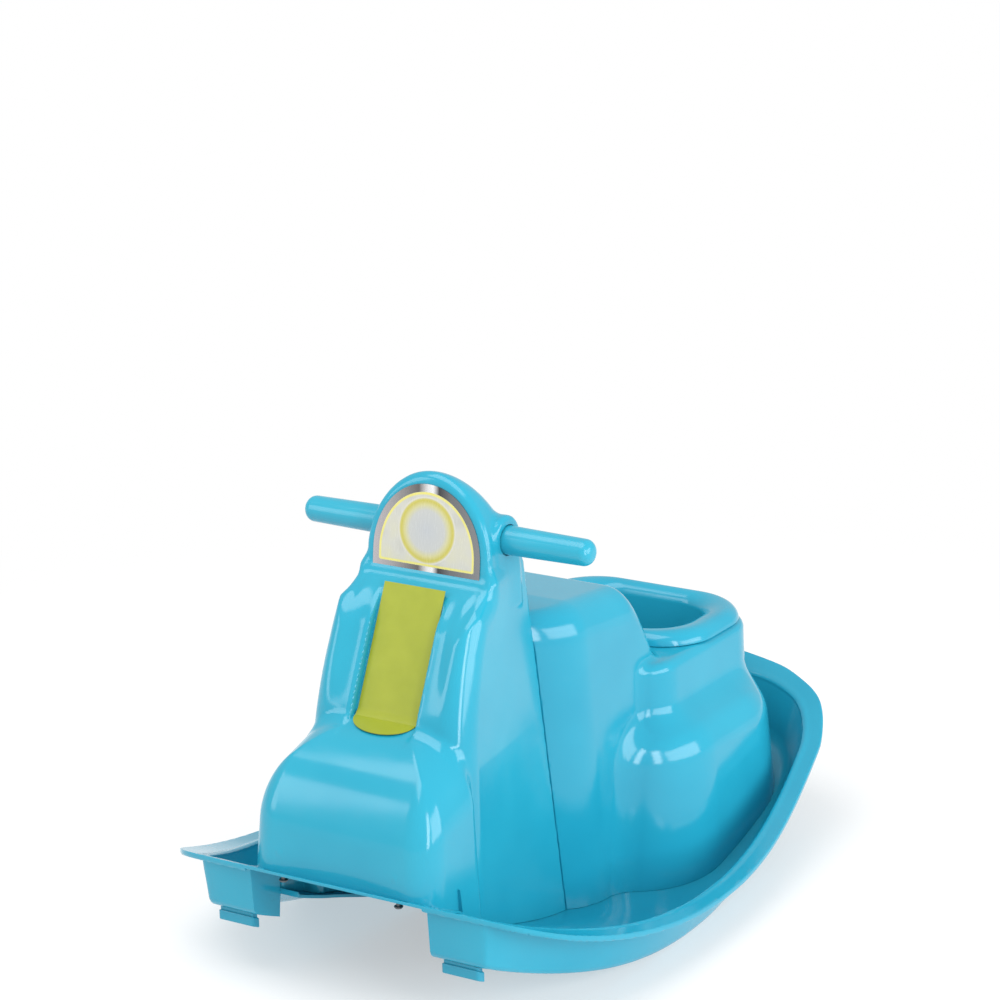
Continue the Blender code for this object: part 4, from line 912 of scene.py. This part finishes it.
# %% Finish of the headlight film
def headlight_print():
    finish, tree, surface, place = new_finish("headlight_film_printed_gloss")
    split = add(tree, "ShaderNodeSeparateXYZ", Vector=place)
    x, z = split.outputs[0], split.outputs[2]
    inset = inset_from_edge(tree, x, z)
    ring = length(tree, x, maths(tree, "SUBTRACT", z, LENS_Z))
    # Pearl ink: milky, with a faint warm glow here and there.
    glow = noise(tree, place, 0.03, 2.0)
    pearl = ramp(tree, glow, ((0.2, "#B0B1AA"), (0.5, "#C2C2B9"), (0.8, "#CAC8A7")))
    # Lens: cool in the middle, a yellow ring that fades both ways.
    lens_stops = ((0.0, "#B4B8BB"), (0.60, "#BABCB9"), (0.76, "#C5C18D"), (0.88, "#BCB453"), (0.93, "#C2BB6F"),
                  (0.97, "#C9C8BF"), (1.0, "#C9C8BF"))
    lens = ramp(tree, ring, lens_stops, 0.0, LENS_RADIUS)
    face = blend(tree, maths(tree, "LESS_THAN", ring, LENS_RADIUS), pearl, lens)
    # Thin yellow line just inside the border.
    off_line = maths(tree, "ABSOLUTE", maths(tree, "SUBTRACT", inset, LINE_INSET))
    line = add(tree, "ShaderNodeMapRange", Value=off_line, From_Min=0.0005, From_Max=0.0016,
               To_Min=0.85, To_Max=0.0).outputs["Result"]
    face = blend(tree, line, face, ramp(tree, glow, ((0.0, "#D9D054"), (1.0, "#E3DB74"))))
    # Silver border: printed reflections run from light to dark and back across it.
    metal_stops = ((0.0, "#C9C2C6"), (0.22, "#A9A7A8"), (0.45, "#6E6C6B"), (0.53, "#E9E9E9"), (0.57, "#F6F6F6"),
                   (0.62, "#4A4B4D"), (0.72, "#77797B"), (1.0, "#8F9193"))
    metal = ramp(tree, maths(tree, "ADD", x, maths(tree, "MULTIPLY", z, 0.02)), metal_stops, -0.056, 0.066)
    silver = maths(tree, "LESS_THAN", inset, BORDER_WIDE)
    tree.links.new(blend(tree, silver, face, metal), surface.inputs["Base Color"])
    tree.links.new(maths(tree, "MULTIPLY", silver, 0.85), surface.inputs["Metallic"])
    # The film is brushed upright: fine streaks in gloss and height.
    brushed = add(tree, "ShaderNodeMapping", Vector=place, Scale=(900.0, 900.0, 40.0)).outputs[0]
    streak = add(tree, "ShaderNodeTexNoise", Vector=brushed, Scale=1.0, Detail=2.0).outputs["Fac"]
    tree.links.new(spread(tree, streak, 0.20, 0.30), surface.inputs["Roughness"])
    bump = add(tree, "ShaderNodeBump", Height=streak, Distance=0.000004)
    tree.links.new(bump.outputs[0], surface.inputs["Normal"])
    surface.inputs["IOR"].default_value = 1.50
    return finish


wear(headlight, headlight_print())

# %% [markdown]
# ### Lime film
#
# The strip is plain coloured vinyl with a satin face, a little duller than the plastic round it, with a soft
# unevenness where the glue below is thicker. One flat colour would look like paint, so two close greens mix.

# %% Finish of the lime film
def lime_film():
    finish, tree, surface, place = new_finish("lime_vinyl_film_satin")
    patches = spread(tree, noise(tree, place, 0.02, 3.0), 0.0, 1.0)
    tree.links.new(blend(tree, patches, "#98A124", "#919B1F"), surface.inputs["Base Color"])
    tree.links.new(spread(tree, noise(tree, place, 0.004, 3.0), 0.34, 0.42), surface.inputs["Roughness"])
    bump = add(tree, "ShaderNodeBump", Height=noise(tree, place, 0.012, 3.0), Distance=0.00008)
    tree.links.new(bump.outputs[0], surface.inputs["Normal"])
    surface.inputs["IOR"].default_value = 1.48
    return finish


wear(strip, lime_film())

# %% [markdown]
# ### Zinc-plated steel
#
# The cross tube, its pins and the screws are plain steel with a thin zinc coat: grey, slightly cloudy where the
# bath left crystals of uneven size. The tube stays bright; the small parts are duller, and their darker grey is
# painted shade that lets the screw heads sink into the shadow below the tub.
# A Voronoi texture makes such cells directly. The pieces are small or hidden, so their plain solids stay.

# %% Finish of the steel parts, carried over from the solid model
def zinc_steel(name, roughness, clear="#B4B6B8", cloudy="#C6C7C6"):
    finish, tree, surface, place = new_finish(name)
    crystals = add(tree, "ShaderNodeTexVoronoi", Vector=place, Scale=700.0).outputs["Distance"]
    tree.links.new(blend(tree, crystals, clear, cloudy), surface.inputs["Base Color"])
    surface.inputs["Metallic"].default_value = 1.0
    tree.links.new(spread(tree, crystals, roughness * 0.8, roughness * 1.2), surface.inputs["Roughness"])
    bump = add(tree, "ShaderNodeBump", Height=crystals, Distance=0.00001)
    tree.links.new(bump.outputs[0], surface.inputs["Normal"])
    return finish


tube_finish = zinc_steel("steel_tube_zinc_plated", 0.35)
# The darker grey of screws and pins is painted shade: it lets the screw heads sink into the shadow below the
# tub.
screw_finish_painted_shade = zinc_steel("steel_screw_zinc_plated_dull_painted_shade", 0.50, "#5C6062", "#74777A")
for name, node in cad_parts.items():
    if "screw" in name or "pin" in name or "tube" in name:
        wear(node, tube_finish if "tube" in name else screw_finish_painted_shade)

# %% [markdown]
# ## Studio
#
# The toy stands on a seamless pale floor. One large soft lamp hangs above, a tall soft box stands at the right
# and draws the long streaks down the column's rounded edge, a wide one lights the right side evenly, and a
# weaker one fills the left. The surroundings are white for the camera and slightly darker for everything else,
# so that the plastic keeps its depth. The paper glows faintly, which keeps the shadow soft, and fades to white
# far out.

# %% Floor, lamps and surroundings
FLOOR_REACH, FADE_FROM, FADE_TO, PAPER_GLOW = 9.0, 0.55, 1.25, 0.45
SURROUND_LIGHT = 0.68


def make_floor():
    mesh = bpy.data.meshes.new("studio_floor")
    corners = [(sx * FLOOR_REACH, sy * FLOOR_REACH, 0) for sx, sy in ((-1, -1), (1, -1), (1, 1), (-1, 1))]
    mesh.from_pydata(corners, [], [(0, 1, 2, 3)])
    item = bpy.data.objects.new("studio_floor", mesh)
    bpy.context.scene.collection.objects.link(item)
    finish, tree, surface, place = new_finish("studio_paper_white_matt")
    surface.inputs["Base Color"].default_value = light("#F7F7F7")
    surface.inputs["Roughness"].default_value = 0.9
    split = add(tree, "ShaderNodeSeparateXYZ", Vector=place)
    away = length(tree, split.outputs[0], split.outputs[1])
    fade = add(tree, "ShaderNodeMapRange", {"interpolation_type": "SMOOTHSTEP"}, Value=away,
               From_Min=FADE_FROM, From_Max=FADE_TO, To_Min=PAPER_GLOW).outputs["Result"]
    sweep = add(tree, "ShaderNodeEmission", Color=light("#FFFFFF"), Strength=1.0)
    mixed = add(tree, "ShaderNodeMixShader", i0=fade, i1=surface.outputs[0], i2=sweep.outputs[0])
    out = next(node for node in tree.nodes if node.type == "OUTPUT_MATERIAL")
    tree.links.new(mixed.outputs[0], out.inputs["Surface"])
    item.data.materials.append(finish)


def soft_lamp(name, place, aim, wide, tall, watts):
    data = bpy.data.lights.new(name, "AREA")
    data.shape, data.size, data.size_y, data.energy = "RECTANGLE", wide, tall, watts
    print(name, "watts:", watts)
    lamp = bpy.data.objects.new(name, data)
    bpy.context.scene.collection.objects.link(lamp)
    back = np.array(place, float) - aim
    back /= np.linalg.norm(back)
    right = np.cross((0, 0, 1), back)
    right /= np.linalg.norm(right)
    up = np.cross(back, right)
    lamp.matrix_world = Matrix([[right[k], up[k], back[k], place[k]] for k in range(3)] + [[0, 0, 0, 1]])


make_floor()
soft_lamp("top_lamp", (-0.3, -0.8, 2.6), (0, 0, 0.1), 2.2, 1.8, 38)
soft_lamp("right_box", (2.3, -1.5, 1.0), (0, 0, 0.2), 0.5, 1.9, 22)
soft_lamp("left_box", (-2.0, -2.2, 1.3), (0, 0, 0.2), 1.0, 1.6, 14)
soft_lamp("right_wall", (2.8, 0.1, 0.9), (0, 0, 0.15), 2.4, 1.5, 46)

world = bpy.data.worlds.new("studio_surround")
bpy.context.scene.world = world
world.use_nodes = True
world.node_tree.nodes.clear()
sky = world.node_tree
seen = add(sky, "ShaderNodeLightPath").outputs["Is Camera Ray"]
bright = add(sky, "ShaderNodeMapRange", Value=seen, To_Min=SURROUND_LIGHT, To_Max=1.0).outputs["Result"]
glow = add(sky, "ShaderNodeBackground", Color=(1, 1, 1, 1), Strength=bright)
add(sky, "ShaderNodeOutputWorld", Surface=glow.outputs[0])

# %% [markdown]
# ## Camera
#
# The view is the one a buyer gets in a shop: from the front and the rider's left, a little above the handles,
# through a long lens that keeps the soles' curve undistorted. A camera can be aimed with a Track To constraint;
# here its three axes are written out, since they were worked out from edges that are straight or mirrored.

# %% Camera and colour handling
forward = np.array((-0.5176, 0.8066, -0.2856))
up = np.array((-0.1329, 0.2539, 0.9581))
forward /= np.linalg.norm(forward)
right = np.cross(forward, up)
right /= np.linalg.norm(right)
up = np.cross(right, forward)
lens = bpy.data.cameras.new("shop_view")
lens.lens, lens.sensor_width = 126.0, 36.0
lens.clip_start, lens.clip_end = 0.1, 60.0
camera = bpy.data.objects.new("shop_view", lens)
bpy.context.scene.collection.objects.link(camera)
spot = (1.6243, -2.5678, 1.2798)
camera.matrix_world = Matrix([[right[k], up[k], -forward[k], spot[k]] for k in range(3)] + [[0, 0, 0, 1]])
bpy.context.scene.camera = camera
bpy.context.scene.view_settings.view_transform = "Standard"
